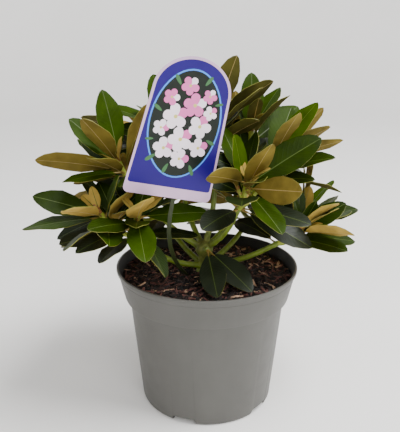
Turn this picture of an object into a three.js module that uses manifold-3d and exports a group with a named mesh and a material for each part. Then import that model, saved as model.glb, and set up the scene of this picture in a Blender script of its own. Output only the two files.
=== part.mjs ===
// A young potted rhododendron: a short forked trunk, boughs, masses of twigs with whorled leaves,
// a plastic nursery container filled with bark mix, and a picture label on its own tail.
// Millimetres, +Z up. The origin is the middle of the pot's flat underside, and -Y is the front.
import * as THREE from "three";
import { mergeVertices } from "three/addons/utils/BufferGeometryUtils.js";
import Module from "manifold-3d";

const wasm = await Module();
wasm.setup();

const vec = (x, y, z) => new THREE.Vector3(x, y, z);
const radians = (degrees) => (degrees * Math.PI) / 180;

// Pot
const POT_HEIGHT = 182.5;
const FOOT_RADIUS = 84.5;
const BODY_SLOPE = 0.099;
const BODY_TOP = 140;
const BAND_BOTTOM = 145;
const BAND_BOTTOM_RADIUS = 104.6;
const BAND_TOP = 177.5;
const BAND_TOP_RADIUS = 112.2;
const LIP_RADIUS = 114;
const LIP_WIDTH = 2.6;
const POT_WALL = 2;
const FLOOR_UNDERSIDE = 7;
const FLOOR_TOP = 10.5;
const FOOT_RING_WIDTH = 12;
const BOSS_RADIUS = 22;
const DRAIN_ARCHES = 5;
const ARCH_WIDTH = 30;
const ARCH_HEIGHT = 7.5;
const ARCH_CORNER = 3;
const FIRST_ARCH = -38;
const DRAIN_HOLE_RADIUS = 5;
const DRAIN_HOLE_RING = 60;
const ROUND_STEPS = 48;

// Bark mix
const SOIL_LEVEL = 170;
const SOIL_EDGE_DIP = 2.5;
const CHIPS = 28;
const CHIP_SIZE = [15, 5, 2.4];
const CHIP_RING = [34, 92];
const CHIP_SEED = 5;
const CHIP_STRAY = { size: 0.3, tilt: 9, height: 0.4 };
const LEVEL_RADIUS = 80;

// Trunk and boughs
const GAP = 0.3;
const FORK = vec(-3, 0, 201);
const KNUCKLE_RADIUS = 11.5;
const FLARE_RADIUS = 12.5;
const FLARE_LOBES = 5;
// How deep the hollows between the roots' shoulders are, as a share, and what each ring up takes off.
const FLARE_HOLLOW = 0.13;
const HOLLOW_FADE = 0.04;
const SHAFT_RADIUS = 7.6;
const TRUNK_SIDES = 12;
const LOW_BOUGH_RISE = 10;
const LOW_BOUGH_SEAT = 8.5;
const BOUGH_RADIUS = [4.1, 3.2];
const BOUGH_STEPS = 5;
const BOUGH_SIDES = 6;
// A bough leaves outwards and then rises: its outward pull, the reach at which the pull is full, the
// lift of a low bough, and where along it the bend lies.
const OUTWARD_PULL = 0.4;
const FULL_PULL_REACH = 40;
const LOW_BOUGH_LIFT = 0.16;
const BOUGH_BEND = 0.48;

// Each bough: where it leaves the trunk, and its tip.
const BOUGHS = {
  right_front: { root: "fork", tip: vec(35, -25, 255) },
  left_low: { root: "foot", tip: vec(-85, -30, 225) },
  left_upper: { root: "fork", tip: vec(-65, -10, 260) },
  right_low: { root: "foot", tip: vec(80, -15, 210) },
  centre_top: { root: "fork", tip: vec(10, 10, 285) },
  right_back: { root: "fork", tip: vec(45, 25, 260) },
  back_upper: { root: "fork", tip: vec(-30, 45, 260) },
  back_right_low: { root: "foot", tip: vec(55, 60, 215) },
  back_left_low: { root: "foot", tip: vec(-55, 70, 215) },
};
// The low front mass has no bough: its stem leaves the fork itself, at this turn and lean.
const FRONT_STEM = { turn: -80, lean: 72 };

// Foliage
const STEM_LENGTH = 8;
const NODE_RADIUS = 3.6;
const NODE_END = 1.5;
const TWIG_RADIUS = [3.4, 2.8];
const TWIG_STEPS = 3;
const TWIG_SIDES = 4;
// How strongly a shoot turns upwards, as a share of its length.
const SHOOT_RISE = 0.3;
const BUD_LENGTH = 15;
// The radii of a bud's foot, belly and tip, and where the belly is.
const BUD_RADII = [2.4, 3.4, 0.5];
const BUD_BELLY = 0.45;
const BUD_SINK = 2;
const GOLDEN_TURN = 137.5;
const LEAF_SPACING = 2.3;
const OLD_LEAF_SPACING = 1;
const LEAF_WIDTH_SHARE = 0.39;
const PETIOLE_SHARE = 0.15;
const LEAF_THICKNESS = 1.3;
// A petiole's half width and thickness, how much a blade's edges rise, and the blade's stations.
const PETIOLE_HALF = 1.3;
const PETIOLE_THICKNESS = 2.4;
const LEAF_CUP = 0.14;
const BLADE_STATIONS = [0.3, 0.72];
const BLADE_FULLNESS = 0.62;
const BLADE_SHIFT = 1.1;
// Length, lean from the shoot and downward bend, from a whorl's lowest leaf to its youngest.
const LEAF_LENGTH = [96, 84];
const LEAF_PITCH = [85, 15];
const LEAF_BEND = [22, 10];
// A leaf that would droop keeps this share of its drop.
const DROOP_SHARE = 0.4;
const OLD_LEAF = { length: 90, pitch: 85, bend: 20 };
// How far one leaf strays from the rule: angles in degrees, length and bend as shares.
const STRAY = { turn: 10, pitch: 10, roll: 40, length: 0.08, bend: 0.4 };
// The light comes from above and a little in front. Leaves turn their faces to it by this share.
const LIGHT = heading(-90, 20);
const LIGHT_PULL = 0.35;

// The room that is kept between pieces, and how a leaf that has no room steps aside.
const LEAF_CLEARANCE = 4.4;
const LIMB_CLEARANCE = 2.2;
const SOIL_CLEARANCE = 4.5;
const LABEL_CLEARANCE = 4;
const RIM_CLEARANCE = 6;
const RIM_HEADROOM = 3;
const SAMPLE_STEP = 5;
const CROWDED_SHARE = 0.34;
const TRIES = 16;
// Each whorl's draws start from its number times this step.
const SEED_STEP = 7919;
const ASIDE = { turn: 7, pitch: 3, roll: 4, length: 0.02 };
const SPACE_RADIUS = 165;
// How low a leaf may hang outside the pot.
const LOWEST_LEAF = 212;

// Each mass: how many old leaves it keeps, and the place of each young whorl with its number of
// leaves. The low front mass has only two old leaves, which hang over the rim.
const MASSES = {
  front_low: { old: 2, whorls: [] },
  right_front: { old: 4, whorls: [[45, -45, 300, 12], [80, 0, 320, 12]] },
  left_low: { old: 4, whorls: [[-125, -40, 260, 10], [-80, -60, 265, 10]] },
  left_upper: { old: 3, whorls: [[-105, -10, 315, 12], [-45, 5, 330, 10]] },
  right_low: { old: 3, whorls: [[115, -20, 235, 12], [120, 20, 235, 9]] },
  centre_top: { old: 2, whorls: [[10, 20, 360, 12], [-45, 40, 345, 10]] },
  right_back: { old: 3, whorls: [[55, 30, 345, 9], [95, 60, 310, 11], [35, 90, 320, 10]] },
  back_upper: { old: 3, whorls: [[-15, 90, 330, 10], [-80, 75, 335, 10], [-100, 30, 290, 10]] },
  back_right_low: { old: 3, whorls: [[40, 120, 245, 11], [110, 85, 250, 11]] },
  back_left_low: { old: 3, whorls: [[-45, 120, 240, 11], [-105, 100, 250, 11], [-125, 40, 245, 9]] },
};

// Leaves at the front, one by one: the shoot (-1 for the node), where the tip is seen from VIEWER
// across and down the view, whether it comes forwards, and how much of its upper side it turns to
// the viewer (of its under side where the number is negative).
const SEEN_LEAVES = {
  front_low: [
    [-1, 216, 290, true, 1],
    [-1, 250, 286, true, 0.9],
  ],
  right_front: [
    [0, 199, 174, true, -0.6],
    [0, 224, 124, false, 0.8],
    [0, 316, 137, false, 0.9],
    [0, 304, 192, true, -1],
    [0, 283, 226, true, 0.6],
    [0, 268, 141, true, -0.8],
    [0, 296, 119, false, 0.4],
    [0, 250, 132, false, 0.5],
    [1, 294, 110, true, -0.65],
    [1, 312, 102, false, 0.75],
    [1, 328, 107, true, -0.35],
    [1, 338, 135, true, -0.5],
    [-1, 311, 242, true, 0.8],
  ],
  left_low: [
    [0, 36, 194, false, 0.9],
    [0, 64, 204, true, -0.6],
    [0, 25, 222, false, 0.5],
    [0, 38, 226, true, -0.6],
    [0, 111, 238, true, 0.9],
    [0, 87, 173, false, 0.65],
    [0, 123, 187, true, -0.45],
    [0, 115, 160, false, 0.5],
    [1, 144, 254, true, 1],
    [1, 206, 211, true, 0.7],
    [1, 174, 198, false, 0.6],
    [-1, 63, 241, true, 0.55],
    [-1, 73, 254, true, 0.4],
  ],
  left_upper: [
    [0, 106, 92, false, 0.9],
    [0, 86, 116, true, -0.75],
    [0, 74, 118, false, 0.8],
    [0, 81, 135, false, 0.7],
    [0, 40, 153, true, -0.55],
    [0, 52, 164, false, 0.4],
    [0, 92, 152, true, -0.55],
    [0, 139, 106, true, -0.45],
  ],
  right_low: [
    [0, 333, 192, false, 0.5],
    [0, 348, 205, false, 0.5],
    [0, 353, 228, true, -0.45],
    [0, 319, 197, true, -0.6],
    [-1, 335, 238, true, 0.7],
  ],
  centre_top: [
    [0, 232, 57, true, -0.8],
    [0, 267, 78, true, -0.55],
    [0, 245, 64, false, 0.35],
  ],
  right_back: [
    [0, 251, 90, false, 0.5],
    [0, 267, 84, false, 0.7],
  ],
};
// The view that they are measured in: the eye, how far it looks down in degrees, its reach and middle.
const VIEWER = vec(-8.5, -712, 474);
const VIEWER_DROP = 17.89;
const VIEW_REACH = 603;
const VIEW_MIDDLE = [200, 216];
// Their shortest and longest length, what the bend takes off, the bend, and how far they step aside
// where they have no room.
const SEEN_LENGTH = [82, 104];
const SEEN_SLACK = 1.05;
const SEEN_BEND = 12;
const SEEN_ASIDE = 0.07;

// Label
const LABEL_WIDTH = 101;
const LABEL_TAPER = 0.14;
const LABEL_HEIGHT = 153;
const LABEL_ARCH = 38;
const LABEL_CORNER = 6;
const LABEL_THICKNESS = 0.8;
const LABEL_FOOT = vec(-45, -79, 291);
const LABEL_TURNS = { lean: 13.5, forward: 5, yaw: 18.5 };
const TAIL_WIDTH = 5;
const TAIL_THICKNESS = 1.4;
const TAIL_FOOT = vec(-24, -14, SOIL_LEVEL + GAP);
const TAIL_ACROSS = 8;
const TAIL_OVERLAP = 14;
const TAIL_DROP = 70;

const UP = vec(0, 0, 1);
const mix = (a, b, share) => a + (b - a) * share;
const along = (point, direction, distance) => point.clone().addScaledVector(direction, distance);

// A unit vector from a compass angle and a lean from upright, in degrees.
function heading(turn, lean) {
  const t = radians(turn);
  const l = radians(lean);
  return vec(Math.sin(l) * Math.cos(t), Math.sin(l) * Math.sin(t), Math.cos(l));
}

// Repeatable draws between 0 and 1, and swings to each side of 0.
function draws(seed) {
  let state = seed >>> 0;
  const draw = () => {
    state = (Math.imul(state, 1664525) + 1013904223) >>> 0;
    return state / 4294967296;
  };
  return { draw, swing: (reach) => mix(-reach, reach, draw()) };
}

// A closed skin over rings of points. Rings run anticlockwise as seen from the far end.
// The last ring may be a single point.
function skin(rings) {
  const faces = [];
  const sides = rings[0].length;
  const at = (ring, i) => ring * sides + (i % sides);
  for (let i = 1; i < sides - 1; i++) faces.push(0, i + 1, i);
  for (let ring = 0; ring < rings.length - 1; ring++) {
    const pointed = rings[ring + 1].length === 1;
    for (let i = 0; i < sides; i++) {
      if (pointed) {
        faces.push(at(ring, i), at(ring, i + 1), (ring + 1) * sides);
        continue;
      }
      faces.push(at(ring, i), at(ring, i + 1), at(ring + 1, i + 1));
      faces.push(at(ring, i), at(ring + 1, i + 1), at(ring + 1, i));
    }
  }
  const last = rings.length - 1;
  if (rings[last].length > 1) {
    for (let i = 1; i < sides - 1; i++) faces.push(at(last, 0), at(last, i), at(last, i + 1));
  }
  const geometry = new THREE.BufferGeometry().setFromPoints(rings.flat());
  return geometry.setIndex(faces);
}

// The direction of a path at one of its points.
function pathDirection(path, step) {
  const before = path[Math.max(step - 1, 0)];
  const after = path[Math.min(step + 1, path.length - 1)];
  return after.clone().sub(before).normalize();
}

// A tube round a path. radiusAt(step, angle) gives each point's distance from the path.
function tube(path, radiusAt, sides) {
  const first = pathDirection(path, 0);
  let side = Math.abs(first.z) > 0.9 ? vec(1, 0, 0) : UP.clone();
  const rings = path.map((point, step) => {
    const direction = pathDirection(path, step);
    side = along(side, direction, -side.dot(direction)).normalize();
    const other = direction.clone().cross(side);
    const ring = [];
    for (let i = 0; i < sides; i++) {
      const angle = (2 * Math.PI * i) / sides;
      const r = radiusAt(step, angle);
      ring.push(along(along(point, side, r * Math.cos(angle)), other, r * Math.sin(angle)));
    }
    return ring;
  });
  return skin(rings);
}

// Points on the curve that leaves start towards bendPoint and ends at end.
function bow(start, bendPoint, end, steps) {
  return new THREE.QuadraticBezierCurve3(start, bendPoint, end).getPoints(steps);
}

function solid(geometry) {
  const bare = geometry.clone();
  bare.deleteAttribute("normal");
  bare.deleteAttribute("uv");
  const merged = mergeVertices(bare, 1e-4);
  const mesh = new wasm.Mesh({
    numProp: 3,
    vertProperties: new Float32Array(merged.attributes.position.array),
    triVerts: new Uint32Array(merged.index.array),
  });
  return new wasm.Manifold(mesh);
}

function geometryOf(body) {
  const mesh = body.getMesh();
  const geometry = new THREE.BufferGeometry();
  geometry.setAttribute("position", new THREE.BufferAttribute(new Float32Array(mesh.vertProperties), 3));
  return geometry.setIndex(new THREE.BufferAttribute(new Uint32Array(mesh.triVerts), 1));
}

// Pot and bark mix

const bodyRadius = (z) => FOOT_RADIUS + BODY_SLOPE * z;

function lathe(profile) {
  const points = profile.map(([r, z]) => new THREE.Vector2(r, z));
  return new THREE.LatheGeometry(points, ROUND_STEPS).rotateX(Math.PI / 2);
}

function pot() {
  const ringInside = FOOT_RADIUS - FOOT_RING_WIDTH;
  const shell = solid(lathe([
    [0, 0],
    [BOSS_RADIUS, 0],
    [BOSS_RADIUS + 2, FLOOR_UNDERSIDE],
    [ringInside - 2, FLOOR_UNDERSIDE],
    [ringInside, 0],
    [FOOT_RADIUS - 4, 0],
    [FOOT_RADIUS - 1, 1.2],
    [bodyRadius(4), 4],
    [bodyRadius(BODY_TOP), BODY_TOP],
    [BAND_BOTTOM_RADIUS - 1, BAND_BOTTOM - 1.8],
    [BAND_BOTTOM_RADIUS, BAND_BOTTOM],
    [BAND_TOP_RADIUS, BAND_TOP],
    [LIP_RADIUS, BAND_TOP + 1],
    [LIP_RADIUS, POT_HEIGHT - 1],
    [LIP_RADIUS - 1, POT_HEIGHT],
    [LIP_RADIUS - LIP_WIDTH, POT_HEIGHT],
    [BAND_TOP_RADIUS - POT_WALL, POT_HEIGHT - 2],
    [BAND_BOTTOM_RADIUS - POT_WALL, BAND_BOTTOM],
    [bodyRadius(BODY_TOP) - POT_WALL, BODY_TOP],
    [bodyRadius(FLOOR_TOP) - POT_WALL, FLOOR_TOP],
    [0, FLOOR_TOP],
  ]));
  let cut = shell;
  for (let i = 0; i < DRAIN_ARCHES; i++) {
    const turn = radians(FIRST_ARCH + (360 / DRAIN_ARCHES) * i);
    cut = cut.subtract(solid(drainArch().rotateZ(turn))).subtract(solid(drainHole().rotateZ(turn)));
  }
  return geometryOf(cut);
}

// The notch in the foot ring that lets water out, with its upper corners cut off.
function drainArch() {
  const half = ARCH_WIDTH / 2;
  const outline = new THREE.Shape([
    new THREE.Vector2(-half, -1),
    new THREE.Vector2(half, -1),
    new THREE.Vector2(half, ARCH_HEIGHT - ARCH_CORNER),
    new THREE.Vector2(half - ARCH_CORNER, ARCH_HEIGHT),
    new THREE.Vector2(ARCH_CORNER - half, ARCH_HEIGHT),
    new THREE.Vector2(-half, ARCH_HEIGHT - ARCH_CORNER),
  ]);
  const notch = new THREE.ExtrudeGeometry(outline, { depth: 2 * FOOT_RING_WIDTH, bevelEnabled: false });
  notch.rotateX(Math.PI / 2).rotateZ(Math.PI / 2);
  return notch.translate(FOOT_RADIUS - 1.5 * FOOT_RING_WIDTH, 0, 0);
}

function drainHole() {
  const hole = new THREE.CylinderGeometry(DRAIN_HOLE_RADIUS, DRAIN_HOLE_RADIUS, 3 * FLOOR_TOP, 10);
  return hole.rotateX(Math.PI / 2).translate(DRAIN_HOLE_RING, 0, FLOOR_TOP);
}

function barkMix() {
  const inside = bodyRadius(0) - POT_WALL - GAP;
  const bandInside = BAND_BOTTOM_RADIUS - POT_WALL - GAP;
  const bandSlope = (BAND_TOP_RADIUS - BAND_BOTTOM_RADIUS) / (BAND_TOP - BAND_BOTTOM);
  const edge = SOIL_LEVEL - SOIL_EDGE_DIP;
  let body = solid(lathe([
    [0, FLOOR_TOP + GAP],
    [inside + BODY_SLOPE * FLOOR_TOP, FLOOR_TOP + GAP],
    [inside + BODY_SLOPE * BODY_TOP, BODY_TOP + 0.5],
    [bandInside, BAND_BOTTOM + 0.5],
    [bandInside + bandSlope * (edge - BAND_BOTTOM) - 0.5, edge],
    [LEVEL_RADIUS, SOIL_LEVEL],
    [0, SOIL_LEVEL],
  ]));
  const { draw, swing } = draws(CHIP_SEED);
  for (let i = 0; i < CHIPS; i++) {
    const turn = radians(GOLDEN_TURN * i);
    const out = mix(...CHIP_RING, Math.sqrt((i + 0.5) / CHIPS));
    const [length, width, thickness] = CHIP_SIZE;
    const stretch = () => 1 + swing(CHIP_STRAY.size);
    const chip = new THREE.BoxGeometry(length * stretch(), width * stretch(), thickness);
    chip.rotateY(radians(swing(CHIP_STRAY.tilt))).rotateZ(radians(360 * draw()));
    chip.translate(out * Math.cos(turn), out * Math.sin(turn), SOIL_LEVEL + swing(CHIP_STRAY.height));
    body = body.add(solid(chip));
  }
  return geometryOf(body);
}

// Trunk and boughs

// Heights above the mix and radii of the trunk's rings: a root flare, a shaft, and a round fork.
const TRUNK_RINGS = [
  [GAP, FLARE_RADIUS],
  [3, 10.5],
  [8, 8.2],
  [16, SHAFT_RADIUS],
];
for (const latitude of [-45, -22.5, 0, 22.5, 45, 67.5, 82]) {
  const height = FORK.z - SOIL_LEVEL + KNUCKLE_RADIUS * Math.sin(radians(latitude));
  TRUNK_RINGS.push([height, KNUCKLE_RADIUS * Math.cos(radians(latitude))]);
}

function trunk() {
  const path = TRUNK_RINGS.map(([height]) => vec(FORK.x, FORK.y, SOIL_LEVEL + height));
  const radiusAt = (step, angle) => {
    const hollow = Math.max(0, FLARE_HOLLOW - HOLLOW_FADE * step);
    return TRUNK_RINGS[step][1] * (1 - (hollow * (1 + Math.cos(FLARE_LOBES * angle))) / 2);
  };
  return tube(path, radiusAt, TRUNK_SIDES);
}

// The path of a bough, from 0.3 mm off the trunk to its tip.
function boughPath({ root, tip }) {
  const outward = tip.clone().sub(FORK).setZ(0).normalize();
  let start;
  let leaving;
  if (root === "fork") {
    leaving = tip.clone().sub(FORK).normalize();
    const pull = OUTWARD_PULL * Math.min(1, Math.hypot(tip.x, tip.y) / FULL_PULL_REACH);
    leaving.addScaledVector(outward, pull).normalize();
    start = along(FORK, leaving, KNUCKLE_RADIUS + GAP);
  } else {
    leaving = along(outward, UP, LOW_BOUGH_LIFT).normalize();
    const shaft = vec(FORK.x, FORK.y, SOIL_LEVEL + LOW_BOUGH_RISE);
    start = along(shaft, outward, LOW_BOUGH_SEAT + GAP);
  }
  const reach = tip.distanceTo(start);
  return bow(start, along(start, leaving, BOUGH_BEND * reach), tip, BOUGH_STEPS);
}

function bough(path) {
  return tube(path, (step) => mix(...BOUGH_RADIUS, step / BOUGH_STEPS), BOUGH_SIDES);
}

// Label: its frame, its card and its tail

const { forward, lean, yaw } = LABEL_TURNS;
const labelTurn = new THREE.Euler(radians(forward), radians(lean), radians(yaw), "ZXY");
const labelPlace = new THREE.Matrix4().makeRotationFromEuler(labelTurn).setPosition(LABEL_FOOT);
const labelInverse = labelPlace.clone().invert();

function labelCard() {
  const half = LABEL_WIDTH / 2;
  const top = half * (1 - LABEL_TAPER);
  const shoulder = LABEL_HEIGHT - LABEL_ARCH;
  const shape = new THREE.Shape();
  shape.moveTo(-half + LABEL_CORNER, 0);
  shape.lineTo(half - LABEL_CORNER, 0);
  shape.absarc(half - LABEL_CORNER, LABEL_CORNER, LABEL_CORNER, -Math.PI / 2, 0, false);
  shape.lineTo(top, shoulder);
  shape.absellipse(0, shoulder, top, LABEL_ARCH, 0, Math.PI, false, 0);
  shape.lineTo(-half, LABEL_CORNER);
  shape.absarc(-half + LABEL_CORNER, LABEL_CORNER, LABEL_CORNER, Math.PI, 1.5 * Math.PI, false);
  const card = new THREE.ExtrudeGeometry(shape, {
    depth: LABEL_THICKNESS,
    bevelEnabled: false,
    curveSegments: 6,
  });
  return card.rotateX(Math.PI / 2).translate(0, LABEL_THICKNESS / 2, 0).applyMatrix4(labelPlace);
}

// The tail's middle line, from the mix up to its lap behind the card.
function tailPath() {
  const onCard = (z) => vec(TAIL_ACROSS, LABEL_THICKNESS / 2, z).applyMatrix4(labelPlace);
  const top = onCard(TAIL_OVERLAP);
  const bottom = onCard(2);
  const down = bottom.clone().sub(top).normalize();
  return [...bow(TAIL_FOOT, along(bottom, down, TAIL_DROP), bottom, 6), top];
}

function tail() {
  const path = tailPath();
  const across = vec(1, 0, 0).transformDirection(labelPlace);
  const rings = path.map((point, step) => {
    const direction = step === 0 ? UP : pathDirection(path, step);
    const side = along(across, direction, -across.dot(direction)).normalize();
    const other = direction.clone().cross(side);
    const [half, thick] = [TAIL_WIDTH / 2, TAIL_THICKNESS / 2];
    const corner = (a, b) => along(along(point, side, a * half), other, b * thick);
    return [corner(1, -1), corner(1, 1), corner(-1, 1), corner(-1, -1)];
  });
  return skin(rings);
}

// Growth rule: where the twigs and leaves go

// The half width of a blade at share u of its length, for a blade 1 wide.
function bladeHalf(u) {
  return 0.5 * Math.pow(Math.sin(Math.PI * Math.pow(u, BLADE_SHIFT)), BLADE_FULLNESS);
}

// A leaf's middle line at share t of its length: the place and the upper face's direction there.
function leafMiddle(leaf, t) {
  const turn = leaf.bend * t;
  const reach = (leaf.length * Math.sin(turn)) / leaf.bend;
  const drop = (leaf.length * (1 - Math.cos(turn))) / leaf.bend;
  return {
    place: along(along(leaf.base, leaf.direction, reach), leaf.face, -drop),
    face: leaf.face.clone().multiplyScalar(Math.cos(turn)).addScaledVector(leaf.direction, Math.sin(turn)),
  };
}

// Points spread over a leaf, each with its share t of the length.
function leafPoints(leaf) {
  const points = [];
  const steps = Math.ceil(leaf.length / SAMPLE_STEP);
  const side = leaf.face.clone().cross(leaf.direction);
  for (let i = 1; i <= steps; i++) {
    const t = i / steps;
    const u = (t - PETIOLE_SHARE) / (1 - PETIOLE_SHARE);
    const half = u > 0 && u < 1 ? bladeHalf(u) * leaf.width : 0;
    const rows = Math.ceil((2 * half) / SAMPLE_STEP);
    const { place } = leafMiddle(leaf, t);
    for (let j = 0; j <= rows; j++) {
      const across = rows ? half * ((2 * j) / rows - 1) : 0;
      points.push({ at: along(place, side, across), t });
    }
  }
  return points;
}

// The part of v that is square to a direction, 1 long.
function flattened(v, direction) {
  return along(v, direction, -v.dot(direction)).normalize();
}

// A leaf by its base, the direction that it leaves in, and the direction that its upper side faces.
function leafFrom(base, direction, face, length, bend) {
  return { base, direction, face, length, width: length * LEAF_WIDTH_SHARE, bend: radians(bend) };
}

// A leaf by the rule, moved a little aside: it leaves axis at pitch, on the side that turn gives, with
// its face pulled to the light and then rolled about its own length.
function drawnLeaf({ base, axis, turn, pitch, length, bend, roll }, step, side) {
  const level = Math.abs(axis.z) > 0.999 ? vec(1, 0, 0) : axis.clone().cross(UP).normalize();
  const other = axis.clone().cross(level);
  const t = radians(turn + ASIDE.turn * side);
  const p = radians(pitch - ASIDE.pitch * step);
  const r = radians(roll - ASIDE.roll * side);
  const radial = level.multiplyScalar(Math.cos(t)).addScaledVector(other, Math.sin(t));
  const direction = axis.clone().multiplyScalar(Math.cos(p)).addScaledVector(radial, Math.sin(p));
  if (direction.z < 0) direction.z *= DROOP_SHARE;
  direction.normalize();
  const inwards = axis.clone().multiplyScalar(Math.sin(p)).addScaledVector(radial, -Math.cos(p));
  const face = flattened(inwards, direction).multiplyScalar(1 - LIGHT_PULL);
  face.addScaledVector(flattened(LIGHT, direction), LIGHT_PULL).normalize();
  const across = face.clone().cross(direction);
  face.multiplyScalar(Math.cos(r)).addScaledVector(across, Math.sin(r));
  return leafFrom(base, direction, face, length * (1 - ASIDE.length * step), bend);
}

// The direction from VIEWER in which a place of the view lies.
function sight(across, down) {
  const drop = radians(VIEWER_DROP);
  const ahead = vec(0, Math.cos(drop), -Math.sin(drop)).multiplyScalar(VIEW_REACH);
  const upwards = vec(0, Math.sin(drop), Math.cos(drop));
  ahead.addScaledVector(vec(1, 0, 0), across - VIEW_MIDDLE[0]);
  return ahead.addScaledVector(upwards, VIEW_MIDDLE[1] - down).normalize();
}

// A measured leaf, moved a little aside.
function seenLeaf(base, [, across, down, forwards, shown], step, side) {
  const ray = sight(across, down);
  const nearest = along(VIEWER, ray, base.clone().sub(VIEWER).dot(ray));
  const off = nearest.distanceTo(base);
  const length = Math.min(SEEN_LENGTH[1], Math.max(SEEN_LENGTH[0], off * SEEN_SLACK));
  const depth = Math.sqrt(Math.max(0, (length / SEEN_SLACK) ** 2 - off ** 2));
  const straight = along(nearest, ray, forwards ? -depth : depth).sub(base).normalize();
  const face = flattened(VIEWER.clone().sub(base), straight);
  const aslant = straight.clone().cross(face);
  const upwards = Math.sqrt(1 - shown ** 2) * Math.sign(aslant.z);
  face.multiplyScalar(shown).addScaledVector(aslant, upwards);
  const direction = along(straight, face.clone().cross(straight), SEEN_ASIDE * side).normalize();
  const turnedFace = flattened(face, direction);
  return leafFrom(base, direction, turnedFace, length * (1 - ASIDE.length * step), SEEN_BEND);
}

// Everything that a new leaf must keep clear of, in cells of space.
const CELL = 16;
const cells = new Map();
const cellOf = (v) => Math.floor(v / CELL);

function occupy(at, radius, mass, t) {
  const key = [cellOf(at.x), cellOf(at.y), cellOf(at.z)].join();
  if (!cells.has(key)) cells.set(key, []);
  cells.get(key).push({ at, radius, mass, t });
}

// Leaves of one mass may crowd each other near their roots.
function isNear(point, mass, t) {
  const [x, y, z] = [cellOf(point.x), cellOf(point.y), cellOf(point.z)];
  for (let i = x - 1; i <= x + 1; i++) {
    for (let j = y - 1; j <= y + 1; j++) {
      for (let k = z - 1; k <= z + 1; k++) {
        for (const other of cells.get([i, j, k].join()) ?? []) {
          if (other.mass === mass && (t < CROWDED_SHARE || other.t < CROWDED_SHARE)) continue;
          if (other.at.distanceTo(point) < other.radius) return true;
        }
      }
    }
  }
  return false;
}

function occupyLimb(path, radius, mass) {
  for (let i = 1; i < path.length; i++) {
    const steps = Math.ceil(path[i].distanceTo(path[i - 1]) / 3);
    for (let j = 0; j <= steps; j++) {
      occupy(path[i - 1].clone().lerp(path[i], j / steps), radius + LIMB_CLEARANCE, mass, 1);
    }
  }
}

// True where a point lies in the label's card, the pot's rim, the mix or outside the mass's space.
function isBarred(point, centre) {
  const card = point.clone().applyMatrix4(labelInverse);
  const off = LABEL_CLEARANCE;
  const inCard = Math.abs(card.x) < LABEL_WIDTH / 2 + off && card.z > -off && card.z < LABEL_HEIGHT + off;
  if (inCard && Math.abs(card.y) < off) return true;
  const out = Math.hypot(point.x, point.y);
  if (point.z < (out < LIP_RADIUS ? SOIL_LEVEL + SOIL_CLEARANCE : LOWEST_LEAF)) return true;
  if (Math.abs(out - LIP_RADIUS) < RIM_CLEARANCE && point.z < POT_HEIGHT + RIM_HEADROOM) return true;
  return point.distanceTo(centre) > SPACE_RADIUS;
}

// Tries a leaf as drawn, then a little more to each side of it, and keeps the first that is clear.
function placeLeaf(name, mass, drawn) {
  for (let attempt = 0; attempt < TRIES; attempt++) {
    const step = Math.ceil(attempt / 2);
    const side = attempt % 2 ? step : -step;
    const leaf = drawn.seen ? seenLeaf(drawn.base, drawn.seen, step, side) : drawnLeaf(drawn, step, side);
    const points = leafPoints(leaf);
    if (points.some(({ at, t }) => isBarred(at, mass.node) || isNear(at, name, t))) continue;
    points.forEach(({ at, t }) => occupy(at, LEAF_CLEARANCE, name, t));
    mass.leaves.push(leaf);
    return;
  }
}

// The stem, node and shoots of a mass. path is the bough that it grows on.
function framework(path, { whorls, ...rest }) {
  const tip = path[path.length - 1];
  const direction = pathDirection(path, path.length - 1);
  const node = along(tip, direction, GAP + STEM_LENGTH);
  const grown = whorls.map(([x, y, z, leaves]) => {
    const end = vec(x, y, z);
    const bend = along(node.clone().lerp(end, 0.5), UP, -SHOOT_RISE * node.distanceTo(end));
    const line = bow(node, bend, end, TWIG_STEPS);
    return { line, axis: end.clone().sub(bend).normalize(), end, leaves };
  });
  return { ...rest, direction, start: along(tip, direction, GAP), node, grown, leaves: [] };
}

// The place on a line at a distance back from its end.
function placeBack(line, distance) {
  let left = distance;
  for (let i = line.length - 1; i > 0; i--) {
    const step = line[i].distanceTo(line[i - 1]);
    if (left <= step) return line[i].clone().lerp(line[i - 1], left / step);
    left -= step;
  }
  return line[0].clone();
}

// The measured leaves of one shoot of a mass, or of its node.
function seenOf(name, number) {
  return (SEEN_LEAVES[name] ?? []).filter(([shoot]) => shoot === number);
}

// The measured leaves, before any others: they sit just under the bud, or at the node.
function growSeen(name, mass) {
  mass.grown.forEach(({ line }, number) => {
    seenOf(name, number).forEach((seen, i) => {
      placeLeaf(name, mass, { base: placeBack(line, LEAF_SPACING * (i + 1)), seen });
    });
  });
  seenOf(name, -1).forEach((seen) => placeLeaf(name, mass, { base: mass.node.clone(), seen }));
}

// The whorl of leaves under the bud of a shoot. Whorls are numbered as they grow.
function growWhorl(name, mass, shoot) {
  const { line, axis, leaves } = shoot;
  const drawnLeaves = leaves - seenOf(name, mass.grown.indexOf(shoot)).length;
  grownCount += 1;
  const { swing } = draws(grownCount * SEED_STEP);
  const firstTurn = GOLDEN_TURN * grownCount;
  for (let i = 0; i < drawnLeaves; i++) {
    const share = i / (drawnLeaves - 1);
    placeLeaf(name, mass, {
      base: placeBack(line, LEAF_SPACING * (leaves - i)),
      axis,
      turn: firstTurn + GOLDEN_TURN * i + swing(STRAY.turn),
      pitch: mix(...LEAF_PITCH, share) + swing(STRAY.pitch),
      length: mix(...LEAF_LENGTH, share) * (1 + swing(STRAY.length)),
      bend: mix(...LEAF_BEND, share) * (1 + swing(STRAY.bend)),
      roll: swing(STRAY.roll),
    });
  }
}

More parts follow.
